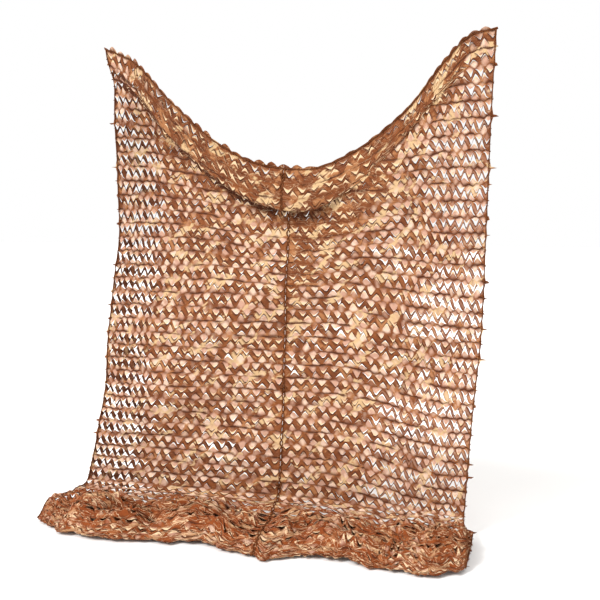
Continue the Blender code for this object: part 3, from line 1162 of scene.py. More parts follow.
@dataclass(frozen=True)
class SlitPattern:
    """The slits of a panel, in rows, and the leaves that they free.

    Between two chords, the uncut rows that carry the net, lie a row of leaves that hang from the
    upper chord and a row that stand on the lower one, half a cell aside. Each slit runs round one
    leaf. The strips between them zigzag from chord to chord.
    """

    cells: int = 20  # across a panel
    pairs: int = 53  # chords down the whole length
    hanging_places: tuple[float, ...] = (0.0, 0.05, 0.20, 0.35, 0.50, 0.65, 0.80, 0.95)
    standing_places: tuple[float, ...] = (0.0, 0.15, 0.30, 0.45, 0.50, 0.55, 0.70, 0.85)
    standing_shares: tuple[float, ...] = (0.5, 0.0, 0.0, 0.5, 1.0, 1.0)  # of each mesh row
    rows: int = 6  # mesh rows from chord to chord
    half_slit: int = 3  # mesh columns from a leaf's middle to the end of its slit
    half_width: float = 0.45  # and the same in cells
    hanging_row: int = 2  # mesh row of the slits round the hanging leaves
    standing_row: int = 4  # mesh row of the slits round the standing leaves
    root: float = 0.06  # from a chord to the ends of its slits, in pitches
    leaf: float = 0.49  # how long a leaf is from there, in pitches
    roundness: float = 1.25  # 1 is a pointed leaf, 2 a round one
    skew: float = 0.20  # how far to one side the leaves point
    parting: float = 0.025  # how far the strip is pulled away from a half open leaf, in pitches
    pull: float = 0.13  # and how much further from a wide open one
    curled: float = 0.20  # the share of its length by which a wide open leaf's tip curls back
    wide_open: Ramp = Ramp(0.68, 0.34)  # how far a slit is open for those two
    root_lean: float = 0.55  # the share of a leaf's lean that its root half has
    tip_lean: float = 1.25  # and its tip half

    @property
    def columns(self) -> int:
        """Mesh columns in a cell."""
        return len(self.hanging_places)

    def cells_across(self, rows: np.ndarray, columns: np.ndarray) -> np.ndarray:
        """Find where vertices lie across: in each row they are closer beside its own leaves.

        Args:
            rows: The mesh row of each.
            columns: Its mesh column.

        Returns:
            How many cells each lies from the seam.
        """
        whole, column = np.divmod(columns, self.columns)
        hanging = np.array(self.hanging_places)[column]
        standing = np.array(self.standing_places)[column]
        return whole + hanging + (standing - hanging) * np.array(self.standing_shares)[rows % self.rows]

    def leaf_profile(self, u: np.ndarray, middle: np.ndarray, skew: np.ndarray) -> np.ndarray:
        """Find how far along its leaf's length a slit runs.

        Args:
            u: Places across, in cells.
            middle: Where the leaf's middle lies.
            skew: How far to one side it points.

        Returns:
            The share at each place: 1 at the leaf's tip and 0 beside it.
        """
        s = np.clip((u - middle) / self.half_width, -1.0, 1.0)
        s = s + skew * (1.0 - s * s)
        return np.clip(1.0 - np.abs(s) ** self.roundness, 0.0, 1.0)


@dataclass(frozen=True)
class LeafVariety:
    """The limits between which each leaf differs from the others."""

    skew: tuple[float, float] = (-0.32, 0.32)
    length: tuple[float, float] = (0.74, 1.14)
    opening: tuple[float, float] = (0.70, 1.30)
    most_open: float = 1.2
    lean: tuple[float, float] = (-10.0, 13.0)  # degrees
    landed_lean: tuple[float, float] = (0.0, 16.0)  # degrees more on the floor
    least_lean: float = 4.0  # degrees, of a slit that is at most half open
    open_lean: float = 60.0  # degrees more where it is wide open
    half_open: float = 0.5
    lean_power: float = 1.5
    outward: float = 0.86  # the share of the leaves that lean out of the front
    inward_lean: float = -0.8  # how far the others lean, as a share of that
    pale: tuple[float, float] = (0.15, 1.15)  # how much of the pale colour, partly reverse and partly painted highlight, shows


@dataclass(frozen=True)
class LeafRow:
    """A row of leaves: for each vertex, the values of the leaf that it is part of or lies beside."""

    profile: np.ndarray  # how far along the leaf's length the slit runs there
    slit: np.ndarray  # how far that is from the leaf's chord, in pitches
    lean: np.ndarray  # how far the leaf leans out of the cloth, in radians
    open_by: np.ndarray  # how far its slit stands open
    pale: np.ndarray  # how much of its pale colour, partly reverse and partly painted highlight, shows


@dataclass(frozen=True)
class Spots:
    """Where vertices lie in a panel, and how the cloth is there."""

    u: np.ndarray  # cells from the seam
    share: np.ndarray  # the same as a share of the panel's width
    rows: np.ndarray  # mesh rows from the top edge
    pair: np.ndarray  # the chord above
    row: np.ndarray  # mesh rows from that chord
    upper: np.ndarray  # whether it is on the upper lip of a slit
    lower: np.ndarray  # or on the lower one
    opened: np.ndarray  # how far the slits stand open
    landed: np.ndarray  # how far the cloth lies on the floor
    piled: np.ndarray  # how far its leaves are pressed flat there

    @property
    def leaf_lip(self) -> np.ndarray:
        """Whether each is on the leaf's lip of a slit."""
        return ((self.row == 2) & self.upper) | ((self.row == 4) & self.lower)

    @property
    def strip_lip(self) -> np.ndarray:
        """Whether each is on the strip's lip."""
        return ((self.row == 2) & self.lower) | ((self.row == 4) & self.upper)


@dataclass(frozen=True)
class ClothMarks:
    """The marks that the mesh gives the finish: rims with a painted highlight, edges with painted
    shade, leaves paler partly by a painted highlight, and crushed cloth.
    """

    wide: Ramp = Ramp(0.60, 0.30)  # how far the slits are open where the net is drawn wide
    shut: Ramp = Ramp(0.30, 0.25)  # and where it is no longer shut
    crushed_shut: Ramp = Ramp(0.20, 0.25)
    reverse_from: float = 0.22  # how far they are open where a leaf starts to show its pale colour, partly reverse and partly painted highlight
    reverse_over: float = 0.22  # and how much further where it shows it all
    strip_shown: Ramp = Ramp(0.20, 0.20)
    rim_root: float = 0.35  # how strong the painted highlight on a leaf's rim is at its root
    rim_half: float = 0.32  # and half way along a shut one
    rim_bright: float = 0.80
    rim_patches: Uneven = Uneven(0.7, 1.0, 1.0, 33.5, 7.0, 1)
    rim_dull: float = 0.75  # how much less marked it is on the floor, outside the pale patches
    pale_patches: Uneven = Uneven(1.3, 0.30, 0.45, 70.0)
    # Painted shade: at the strips' far lips, along the chords, and over the strips where the net stands
    # wide open
    edge_root: float = 0.5
    chord_shade: float = 0.38
    chord_patches: Uneven = Uneven(1.1, 0.8, 1.7, layers=1)
    chord_wide: float = 0.4
    chord_most: float = 0.85
    rooted: float = 0.28  # how much of the leaves' pale colour shows at their roots
    piled_reverse: float = 0.4
    faded: float = 0.03  # and in the strips
    crushed: float = 0.10
    crushed_more: float = 0.30
    crushed_most: float = 0.9

    def on(
        self,
        side: Side,
        spots: Spots,
        leaves: tuple[LeafRow, LeafRow],
        noises: tuple[SmoothNoise, SmoothNoise],
        shade: np.ndarray,
    ) -> dict[str, np.ndarray]:
        """Mark vertices.

        Args:
            side: Their panel.
            spots: The vertices.
            leaves: The hanging and the standing leaves.
            noises: The noise of the wide patches and of the small ones.
            shade: The shade of the swag's crease on them.

        Returns:
            Each mark's name, and how strong it is at each vertex.
        """
        own, row, landed = PANEL_SIDES[side], spots.row, spots.landed
        hanging, standing = leaves
        wide_noise, fine_noise = noises
        at = spots.u, spots.pair
        wide = self.wide.at(spots.opened) * (1.0 - landed)
        pale_patches = eased(0.5 + self.pale_patches.of(wide_noise, *at))
        bright = np.clip(self.rim_bright + self.rim_patches.of(fine_noise, *at), 0.0, 1.0)
        bright = bright * (1.0 - landed * self.rim_dull * (1.0 - pale_patches))
        shut = 1.0 - self.shut.at(spots.opened) * (1.0 - landed)
        half_way = ((row == 1) | (row == 5)) * self.rim_half * shut
        profile = np.where(row == 2, hanging.profile, standing.profile)
        # A painted highlight along each leaf's rim
        rim = spots.leaf_lip * (self.rim_root + (1.0 - self.rim_root) * profile)
        # Painted shade, in the edge mark: the strips' far lips, the chords, whole strips where the net
        # is wide open, and the crease's shade
        chord = self.chord_shade + self.chord_patches.of(wide_noise, *at) + self.chord_wide * wide
        edge = self.edge_root + (1.0 - self.edge_root) * profile
        edge = spots.strip_lip * edge * (1.0 - own.edge_pale * wide)
        edge = edge + (row == 0) * np.clip(chord, 0.0, self.chord_most)
        edge = edge + (row == 3) * own.strip_shade * wide
        # The leaves' pale colour: partly the reverse's own colour and partly a painted highlight
        hung_leaf = (row == 1) | ((row == 2) & spots.upper)
        stood_leaf = (row == 5) | ((row == 4) & spots.lower)
        root = (row == 0) * np.maximum(hanging.profile, standing.profile) ** 2
        leaf = hanging.pale * hanging.profile * hung_leaf
        leaf = leaf + standing.pale * standing.profile * stood_leaf + self.rooted * root
        shown = np.clip((spots.opened - self.reverse_from) / self.reverse_over, 0.0, 1.0)
        shown = (1.0 - spots.piled) * shown
        shown = np.maximum(shown, landed * self.piled_reverse * pale_patches)
        strip = ((row == 3) | spots.strip_lip) * self.faded * self.strip_shown.at(spots.opened)
        strip = strip * (1.0 - landed) + (row == 3) * own.strip_pale * wide
        crushed = self.crushed + self.crushed_more * (1.0 - self.crushed_shut.at(spots.opened))
        return {
            "rim": (rim + half_way) * bright,
            "edge": edge + shade,
            "leaf": leaf * shown + strip,
            "crushed": np.clip(crushed + landed, 0.0, self.crushed_most),
        }


@dataclass
class ClothPanel:
    """One stretch of a panel: a thin sheet on the drape, slit, with its leaves out of its plane."""

    PLACES = ("flat_across", "flat_down", "across", "down", "out", "tip")

    side: Side
    stretch: Stretch
    drape: Drape
    pattern: SlitPattern
    opening: Opening = Opening()
    shade: CreaseShade = CreaseShade()
    variety: LeafVariety = LeafVariety()
    marks: ClothMarks = ClothMarks()
    seed: int = 40
    wide_seed: int = 100
    fine_seed: int = 200
    flat_width: float = 1.0
    hung_pairs: int = 33
    inset: float = 0.0004
    thickness: float = 0.0007
    covered: float = 0.75  # the share of the flat cloth's rectangle that its outline fills
    # The chords' places down the net
    loaded: float = 0.07  # how much further apart the chords stand at the top
    stretches: Ramp = Ramp(0.2, 0.7)  # share of the width where they do towards the side edge
    gathered: float = 0.12  # share of the slack that shows as closer chords below the crease
    gathered_over: float = 0.42  # cloth over which it does
    ruffled_pairs: float = 13.0  # of the chords on the floor, those on the pile's top and front
    ruffled_cloth: float = 0.47  # how long the drape is there
    # The cloth between the chords
    sag: Uneven = Uneven(0.06, 0.5, 0.9, 20.0)  # in pitches
    cell_sag: Uneven = Uneven(0.06, 1.7, 1.0, 0.0, 80.0, 1)
    drift: Uneven = Uneven(0.11, 0.6, 0.35, 70.0)  # in cells
    drift_from: float = 0.6  # cells from the panel's edges where that is whole
    tug: float = 0.05  # how far the strips pull a chord up and down, in pitches
    least_tug: float = 0.4
    tug_uneven: Uneven = Uneven(0.035, 2.0, 3.1, layers=1)
    tug_reach: float = 0.45  # how far from a chord the cloth goes with it, in pitches
    crease_depth: float = 0.0030
    crease_share: float = 0.9
    crease_uneven: Uneven = Uneven(0.8, 0.35, 0.8, 50.0, layers=1)
    twist: float = 0.0055  # how far the edges of a strip turn out of its plane
    twist_shut: float = 0.6  # the share of that which a shut slit's have
    twist_open: float = 0.9
    twist_share: float = 0.3
    twist_uneven: Uneven = Uneven(1.0, 0.45, 0.6)
    strip_out: float = 0.25  # and the share that a strip's middle has
    leaf_landing: float = 0.10  # cloth past the foot over which the leaves land
    leaf_piled: Ramp = Ramp(0.06, 0.14)  # and over which they are pressed flat
    # The leaves above the top edge
    top_leaf: float = 0.28  # in pitches
    top_seed: int = 7
    top_lengths: tuple[float, float] = (0.1, 1.1)
    top_last: float = 0.2  # the length of the last one, at the corner
    top_round: float = 0.7
    top_from: float = 0.06
    top_out: float = 0.004
    top_lean: float = 0.006
    top_shortens: Ramp = Ramp(0.0, 0.15)  # share of the width
    top_lengthens: Ramp = Ramp(0.60, 0.15)
    top_longer: float = 0.35
    # The leaf tips along the side edge
    leaf_tip: float = 0.030  # how far the chords' ends stand out of the side edge
    tip_seed: int = 11
    tip_least: float = 0.10
    tip_first: float = 0.2  # the share of the first one, at the corner
    tip_piled: float = 0.5  # the share of them on the floor
    tip_point: tuple[float, ...] = (1.0, 0.62, 0.22, 0.0, 0.22, 0.62)  # its form over the mesh rows
    edge_dip: float = 0.002  # how far the edge draws in between them
    # The cloth on the floor
    pile_seed: int = 60
    pile_edge: float = 0.05  # share of the width at its edges that isn't pushed
    pile_room: float = 0.15  # cloth at its end that isn't pushed either
    pile_push: float = 0.30  # how far it is pushed within itself, in cells and pitches
    push_across: Uneven = Uneven(1.0, 0.55, 0.5, 30.0)
    push_down: Uneven = Uneven(1.0, 0.5, 0.45, 90.0, 8.0)
    pile_crumple: float = 0.009
    pile_crumples: Uneven = Uneven(1.0, 0.7, 0.7, layers=3)
    ruffle: float = 0.042  # cloth in one ruffle of the pile
    ruffle_height: float = 0.005
    ruffle_lap: float = 0.0045  # how far a ruffle laps over the next
    ruffle_start: Uneven = Uneven(1.0, 0.24, 0.35, 60.0)
    ruffle_share: float = 0.55
    ruffle_uneven: Uneven = Uneven(0.55, 0.3, 0.5, 5.0, 70.0, 1)

    @property
    def name(self) -> str:
        """The piece's name."""
        return f"cloth_{self.side.name.lower()}_{self.stretch.value}"

    @property
    def hung(self) -> bool:
        """Whether this is the hung stretch."""
        return self.stretch is Stretch.HUNG

    @property
    def pitch(self) -> float:
        """Cloth from one chord to the next."""
        return self.drape.length / self.pattern.pairs

    @property
    def first_pair(self) -> int:
        """The chord at which this stretch starts."""
        return 0 if self.hung else self.hung_pairs

    @property
    def last_pair(self) -> int:
        """The chord at which this stretch ends."""
        return self.hung_pairs if self.hung else self.pattern.pairs

    def _grid(self) -> tuple[bmesh.types.BMesh, np.ndarray, np.ndarray, np.ndarray]:
        """Cut the slits into a plain grid.

        Returns:
            The mesh, and for each vertex its row, its column, and its lip: -1 on the upper lip of
            a slit, 1 on the lower lip and 0 elsewhere.
        """
        pattern = self.pattern
        across = pattern.cells * pattern.columns
        first = self.first_pair * pattern.rows - (1 if self.hung else 0)
        count = self.last_pair * pattern.rows - first
        mesh = bmesh.new()
        bmesh.ops.create_grid(mesh, x_segments=across, y_segments=count, size=0.5)
        row_layer = mesh.verts.layers.int.new("row")
        column_layer = mesh.verts.layers.int.new("column")
        band_layer = mesh.faces.layers.int.new("band")
        mesh.verts.ensure_lookup_table()
        for index, vertex in enumerate(mesh.verts):
            vertex[row_layer] = first + index // (across + 1)
            vertex[column_layer] = index % (across + 1)
        for face in mesh.faces:
            face[band_layer] = min(vertex[row_layer] for vertex in face.verts)
        half = pattern.columns // 2
        cut = []
        for edge in mesh.edges:
            a, b = edge.verts
            row = a[row_layer]
            if row != b[row_layer] or row < 0:
                continue
            column = min(a[column_layer], b[column_layer])
            standing = row % pattern.rows == pattern.standing_row
            if standing and half <= column < across - half:
                from_middle = (column + half) % pattern.columns - half
            elif row % pattern.rows == pattern.hanging_row:
                from_middle = column % pattern.columns - half
            else:
                continue
            if -pattern.half_slit <= from_middle < pattern.half_slit:
                cut.append(edge)
        bmesh.ops.split_edges(mesh, edges=cut)
        rows, columns, lips = (np.zeros(len(mesh.verts), int) for _ in range(3))
        for index, vertex in enumerate(mesh.verts):
            rows[index] = vertex[row_layer]
            columns[index] = vertex[column_layer]
            bands = {face[band_layer] for face in vertex.link_faces}
            if rows[index] % pattern.rows in (pattern.hanging_row, pattern.standing_row):
                if bands == {rows[index]}:
                    lips[index] = 1
                elif bands == {rows[index] - 1}:
                    lips[index] = -1
        for edge in mesh.edges:
            if edge.is_boundary:
                edge.smooth = False
        if self.side is Side.RIGHT:
            bmesh.ops.reverse_faces(mesh, faces=mesh.faces[:])
        return mesh, rows, columns, lips

    def _share(self, u: np.ndarray) -> np.ndarray:
        """Find how far across the panel places lie.

        Args:
            u: How many cells each is from the seam.

        Returns:
            The share of the panel's width up to each.
        """
        cells, own = self.pattern.cells, PANEL_SIDES[self.side]
        inner = cells - own.crowded_cells
        return np.interp(u, (0.0, inner, cells), (0.0, 1.0 - own.crowded_share, 1.0))

    def _on_drape(self, chords: np.ndarray, share: np.ndarray) -> np.ndarray:
        """Find how far down the drape places lie.

        The chords stand further apart towards the right edge and high up, where they carry more,
        and closer together below the swag's crease and in the pile, where it shows.

        Args:
            chords: How many chords down each place is.
            share: The share of the panel's width there.

        Returns:
            The cloth from the top edge to each.
        """
        even = self.hung_pairs * self.pitch
        hung = even * (1.0 + PANEL_SIDES[self.side].stretched * self.stretches.at(share))
        shown = even + self.ruffled_cloth
        high = np.minimum(chords / self.hung_pairs, 1.0)
        past = np.maximum(chords - self.hung_pairs, 0.0)
        hidden = self.pattern.pairs - self.hung_pairs - self.ruffled_pairs
        down = hung * high * (1.0 + self.loaded * (1.0 - np.maximum(high, 0.0)))
        down = down + np.clip(past / self.ruffled_pairs, 0.0, 1.0) * (shown - hung)
        under = np.clip((past - self.ruffled_pairs) / hidden, 0.0, 1.0)
        down = down + under * (self.drape.length - shown)
        place = place_across(self.side, share)
        slack, flap = self.drape.slack(place), self.drape.swag(place)[1]
        drawn = eased((down - flap) / np.maximum(slack, BARELY))
        drawn = drawn * (1.0 - eased((down - flap - slack) / self.gathered_over))
        return down + self.gathered * slack * drawn

    def _spots(
        self, rows: np.ndarray, columns: np.ndarray, lips: np.ndarray, noise: SmoothNoise
    ) -> Spots:
        """Find where vertices lie in the panel, and how the cloth is there.

        Args:
            rows: The mesh row of each.
            columns: Its mesh column.
            lips: Its lip, as `_grid` gives it.
            noise: The noise of the slits' opening.

        Returns:
            The vertices' places.
        """
        u = self.pattern.cells_across(rows, columns)
        pair = rows // self.pattern.rows
        share = self._share(u)
        down = self._on_drape(pair + 0.0, share)
        past_foot = down - self.drape.hung_length
        middle = down + 0.5 * self.pitch
        return Spots(
            u=u,
            share=share,
            rows=rows,
            pair=pair,
            row=rows - pair * self.pattern.rows,
            upper=lips < 0,
            lower=lips > 0,
            opened=self.opening.at(self.side, self.drape, share, middle, noise),
            landed=eased(past_foot / self.leaf_landing),
            piled=self.leaf_piled.at(past_foot),
        )

    def _leaf_row(self, spots: Spots, standing: bool, rng: np.random.Generator) -> LeafRow:
        """Draw a row of leaves, each with its own form.

        Args:
            spots: The vertices.
            standing: Whether the leaves stand on the lower chord, or hang from the upper one.
            rng: The source of what is random.

        Returns:
            The leaves' values at each vertex.
        """
        pattern, variety, u = self.pattern, self.variety, spots.u
        shape = (pattern.pairs + 2, pattern.cells + 2)
        if standing:
            middle = np.round(u)
            cut = (u >= 0.5) & (u <= pattern.cells - 0.5)
        else:
            middle = np.floor(np.minimum(u, pattern.cells - BARELY)) + 0.5
            cut = u >= 0.0
        skew = pattern.skew * self.side.value * (1 if standing else -1)
        cell = spots.pair + 1, middle.astype(int)

        def drawn(limits: tuple[float, float]) -> np.ndarray:
            """Each leaf's own value between two limits."""
            return rng.uniform(*limits, shape)[cell]

        profile = pattern.leaf_profile(u, middle, skew + drawn(variety.skew))
        profile = np.where(cut, profile, 0.0)
        length = pattern.leaf * drawn(variety.length)
        open_by = np.clip(spots.opened * drawn(variety.opening), 0.0, variety.most_open)
        wide = np.clip(open_by - variety.half_open, 0.0, 1.0) ** variety.lean_power
        lean = variety.least_lean + variety.open_lean * wide + drawn(variety.lean)
        lean = np.radians(lean + spots.landed * drawn(variety.landed_lean))
        outward = drawn((0.0, 1.0)) < variety.outward
        return LeafRow(
            profile=profile,
            slit=pattern.root + length * profile,
            lean=lean * np.where(outward, 1.0, variety.inward_lean),
            open_by=open_by,
            pale=np.clip(drawn(variety.pale), 0.0, 1.0),
        )

    def _leaned(self, leaves: LeafRow, share: np.ndarray | float) -> tuple[np.ndarray, np.ndarray]:
        """Find how far leaves reach as they lean out of the cloth.

        Args:
            leaves: The leaves.
            share: The share of their length up to the place that is asked for.

        Returns:
            How far that place is from the chord, in pitches, and out of the front, in metres.
        """
        root, tip = 0.5 * leaves.slit, (share - 0.5) * leaves.slit
        root_lean = self.pattern.root_lean * leaves.lean
        tip_lean = self.pattern.tip_lean * leaves.lean
        reach = root * np.cos(root_lean) + tip * np.cos(tip_lean)
        out = self.pitch * (root * np.sin(root_lean) + tip * np.sin(tip_lean))
        return reach, out * leaves.profile

    def _tips_of(self, leaves: LeafRow) -> tuple[np.ndarray, np.ndarray, np.ndarray]:
        """Find the two lips of leaves' slits.

        Args:
            leaves: The leaves.

        Returns:
            How far the leaf's own lip is from the chord, in pitches, how far it is out of the
            front, in metres, and how far the strip's lip is from the chord, in pitches.
        """
        pattern = self.pattern
        wide = pattern.wide_open.at(leaves.open_by)
        parted = pattern.parting * leaves.open_by + pattern.pull * wide
        reach, out = self._leaned(leaves, 1.0 - pattern.curled * wide * leaves.profile)
        return reach, out, leaves.slit + parted * leaves.profile

    def _between_chords(
        self, spots: Spots, hanging: LeafRow, standing: LeafRow, noise: SmoothNoise
    ) -> tuple[np.ndarray, ...]:
        """Place vertices between their two chords.

        Args:
            spots: The vertices.
            hanging: The leaves that hang from the upper chord.
            standing: The leaves that stand on the lower one.
            noise: The noise of the strips' twist.

        Returns:
            How far each is from the upper chord in the flat cloth and as it hangs, in pitches,
            and how far out of the front, in metres.
        """
        u, pair, row = spots.u, spots.pair, spots.row
        twisted = self.twist_share + self.twist_uneven.of(noise, u, pair)
        turn = self.twist * (self.twist_shut + self.twist_open * spots.opened) * twisted
        crease = -self.crease_depth * (self.crease_share + self.crease_uneven.of(noise, u, pair))
        hang_half, hang_half_out = self._leaned(hanging, 0.5)
        stand_half, stand_half_out = self._leaned(standing, 0.5)
        hang_tip, hang_tip_out, hang_far = self._tips_of(hanging)
        stand_tip, stand_tip_out, stand_far = self._tips_of(standing)
        hang, stand, none = hanging.slit, standing.slit, 0.0 * u
        middle, middle_hung = (1 + hang - stand) / 2, (1 + hang_far - stand_far) / 2
        masks, flat, hung, out = zip(
            (row == 0, none, none, crease),
            (row == 1, hang / 2, hang_half, hang_half_out),
            ((row == 2) & spots.upper, hang, hang_tip, hang_tip_out),
            ((row == 2) & spots.lower, hang, hang_far, -turn * hanging.profile),
            (row == 2, hang, hang, none),
            (row == 3, middle, middle_hung, self.strip_out * turn),
            ((row == 4) & spots.upper, 1 - stand, 1 - stand_far, turn * standing.profile),
            ((row == 4) & spots.lower, 1 - stand, 1 - stand_tip, stand_tip_out),
            (row == 4, 1 - stand, 1 - stand, none),
            (row == 5, 1 - stand / 2, 1 - stand_half, stand_half_out),
        )
        return tuple(np.select(list(masks), list(values)) for values in (flat, hung, out))

    def _shaped(
        self, rows: np.ndarray, columns: np.ndarray, lips: np.ndarray
    ) -> tuple[np.ndarray, np.ndarray, dict[str, np.ndarray]]:
        """Place each vertex in the cloth.

        Args:
            rows: The mesh row of each.
            columns: Its mesh column.
            lips: Its lip, as `_grid` gives it.

        Returns:
            The flat place in cells across and chords down, the hung place in the same units and
            metres out of the front, and the marks for the finish.
        """
        seed = self.seed + self.side.value
        rng = np.random.default_rng(seed)
        wide, fine = SmoothNoise(seed + self.wide_seed), SmoothNoise(seed + self.fine_seed)
        spots = self._spots(rows, columns, lips, wide)
        u, pair = spots.u, spots.pair
        hanging = self._leaf_row(spots, False, rng)
        standing = self._leaf_row(spots, True, rng)
        flat, place, out = self._between_chords(spots, hanging, standing, wide)
        near = np.clip(1.0 - np.abs(flat - np.round(flat)) / self.tug_reach, 0.0, 1.0)
        tugged = self.tug * (self.least_tug + spots.opened) * np.cos(2 * math.pi * u)
        tugged = tugged + self.tug_uneven.of(wide, u, pair)
        sag = self.sag.of(fine, u, pair) + self.cell_sag.of(fine, u, pair) + tugged * near
        inner = eased(u / self.drift_from) * eased((self.pattern.cells - u) / self.drift_from)
        drifted = u + self.drift.of(fine, u, rows) * inner
        hung_place = np.stack([drifted, pair + place + sag * (pair > 0), out], axis=-1)
        down = self._on_drape(pair + place, spots.share)
        shade = self.shade.at(self.side, self.drape, spots.share, down)
        marks = self.marks.on(self.side, spots, (hanging, standing), (wide, fine), shade)
        return np.stack([u, pair + flat], axis=-1), hung_place, marks

    def _top_leaves(self, rows: np.ndarray, columns: np.ndarray, place: np.ndarray) -> None:
        """Stand the leaves of the first chord up above the top edge.

        Args:
            rows: The mesh row of each vertex.
            columns: Its mesh column.
            place: Its hung place, which is changed.
        """
        above = rows < 0
        u = self.pattern.cells_across(rows[above], columns[above])
        standing = self.pattern.leaf_profile(u, np.round(u), 0 * u) ** self.top_round
        share = self._share(u)
        shorter = self.top_shortens.at(share)
        shorter = shorter * (1.0 - self.top_longer * self.top_lengthens.at(share))
        reach = self.top_leaf * (1.0 - PANEL_SIDES[self.side].top_short * shorter)
        lengths = np.random.default_rng(self.top_seed).uniform(
            *self.top_lengths, self.pattern.cells + 1
        )
        lengths[-1] = self.top_last
        lengths = lengths[np.round(u).astype(int)]
        place[above, 1] = -self.top_from - reach * lengths * standing
        place[above, 2] = self.top_out + self.top_lean * standing * lengths

    def _side_tips(self, rows: np.ndarray, columns: np.ndarray) -> np.ndarray:
        """Find how far the leaf tips at the chords' ends stand out of the side edge.

        Args:
            rows: The mesh row of each vertex.
            columns: Its mesh column.

        Returns:
            How far each stands out, in metres.
        """
        pattern = self.pattern
        lengths = np.random.default_rng(self.tip_seed).uniform(0.0, 1.0, pattern.pairs + 2) ** 2
        lengths = self.tip_least + (1.0 - self.tip_least) * lengths
        lengths[0] = self.tip_first
        nearest = (rows + pattern.rows // 2) // pattern.rows
        tip = self.leaf_tip * lengths[nearest] * np.array(self.tip_point)[rows % pattern.rows]
        tip = tip * (1.0 if self.hung else self.tip_piled)
        return np.where(columns == pattern.cells * pattern.columns, tip - self.edge_dip, 0.0)

    def _draped(self, place: np.ndarray) -> np.ndarray:
        """Lay points of the cloth on the drape, ruffled and crumpled on the floor.

        Args:
            place: Cells across, chords down and metres out of the front, for each point.

        Returns:
            The points, in the frame.
        """
        u, chord, out = place.T
        share = np.clip(self._share(u), BARELY, 1.0)
        down = self._on_drape(chord, share)
        noise = SmoothNoise(self.pile_seed + self.side.value)
        landed = eased((down - self.drape.hung_length) / self.drape.landing)
        inner = eased((1.0 - share) / self.pile_edge) * eased(share / self.pile_edge)
        pushed = landed * inner
        push = self.pile_push * pushed
        share = share + push / self.pattern.cells * self.push_across.of(noise, u, chord)
        room = eased((self.drape.length - down) / self.pile_room)
        down = down + push * room * self.pitch * self.push_down.of(noise, u, chord)
        turn = chord * self.pitch / self.ruffle + self.ruffle_start.of(noise, u, chord)
        deep = pushed * (self.ruffle_share + self.ruffle_uneven.of(noise, u, chord))
        down = down + room * deep * self.ruffle_lap * np.cos(2 * math.pi * turn)
        points, normals = self.drape.frames(self.side.value * share, down, self.inset)
        out = out + pushed * self.pile_crumple * self.pile_crumples.of(noise, u, chord)
        out = out + deep * self.ruffle_height * np.sin(2 * math.pi * turn)
        points = points + normals * out[:, None]
        return Crumple().applied(points, self.side.value * share, down, self.drape)

    def build(self, material: bpy.types.Material) -> bpy.types.Object:
        """Make the piece.

        Args:
            material: The cloth's finish.

        Returns:
            The piece, riding on the net's body.
        """
        mesh, rows, columns, lips = self._grid()
        flat, place, marks = self._shaped(rows, columns, lips)
        if self.hung:
            self._top_leaves(rows, columns, place)
        kept = np.column_stack([flat, place, self._side_tips(rows, columns), *marks.values()])
        names = (*self.PLACES, *marks)
        layers = [mesh.verts.layers.float.new(name) for name in names]
        for vertex, values in zip(mesh.verts, kept):
            for layer, value in zip(layers, values):
                vertex[layer] = value
        if not self.hung:
            row_layer = mesh.verts.layers.int["row"]
            lengthwise = [e for e in mesh.edges if e.verts[0][row_layer] != e.verts[1][row_layer]]
            bmesh.ops.subdivide_edges(mesh, edges=lengthwise, cuts=1, use_grid_fill=True)
            layers = [mesh.verts.layers.float[name] for name in names]
        kept = np.array([[vertex[layer] for layer in layers] for vertex in mesh.verts])
        points = self._draped(kept[:, 2:5])
        points[:, 0] += self.side.value * kept[:, 5]
        for vertex, point in zip(mesh.verts, points):
            vertex.co = point
        uv_layer = mesh.loops.layers.uv.new("flat")
        mesh.verts.index_update()
        scale = (self.side.value * self.flat_width / self.pattern.cells, -self.pitch)
        metres = kept[:, :2] * scale
        for face in mesh.faces:
            for loop in face.loops:
                loop[uv_layer].uv = metres[loop.vert.index]
        for name in self.PLACES:
            mesh.verts.layers.float.remove(mesh.verts.layers.float[name])
        piece = finished(self.name, mesh, material)
        thicken = piece.modifiers.new("Cloth thickness", "SOLIDIFY")
        thicken.thickness = self.thickness
        thicken.offset = 0.0
        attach(piece, BODY)
        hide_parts(f"panel_{self.side.name.lower()}")
        return piece


# ---------------------------------------------------------------------------------------------
# The cords


def cord_piece(
    name: str, strands: list[tuple[np.ndarray, bool]], radius: float, material: bpy.types.Material
) -> bpy.types.Object:
    """Make round cords of one thickness, as one piece.

    Args:
        name: The piece's name.
        strands: For each cord, the points that it follows, and whether it is a closed ring.
        radius: Half its thickness.
        material: Its finish.

    Returns:
        The piece, riding on the net's body.
    """
    curve = bpy.data.curves.new(name, "CURVE")
    curve.dimensions = "3D"
    curve.bevel_depth = radius
    curve.bevel_resolution = 1
    curve.use_fill_caps = True
    for points, ring in strands:
        spline = curve.splines.new("POLY")
        spline.points.add(len(points) - 1)
        spline.use_cyclic_u = ring
        spline.use_smooth = True
        spline.points.foreach_set("co", np.column_stack([points, np.ones(len(points))]).ravel())
    curve.materials.append(material)
    piece = bpy.data.objects.new(name, curve)
    bpy.context.scene.collection.objects.link(piece)
    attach(piece, BODY)
    return piece


def ring_round(centre: np.ndarray, first: np.ndarray, second: np.ndarray, points: int) -> np.ndarray:
    """Find points of a ring.

    Args:
        centre: Its centre.
        first: A half axis of it.
        second: The half axis across that.
        points: How many points it has.

    Returns:
        The points.
    """
    turns = np.linspace(0.0, 2 * math.pi, points, endpoint=False)[:, None]
    return centre + np.cos(turns) * first + np.sin(turns) * second


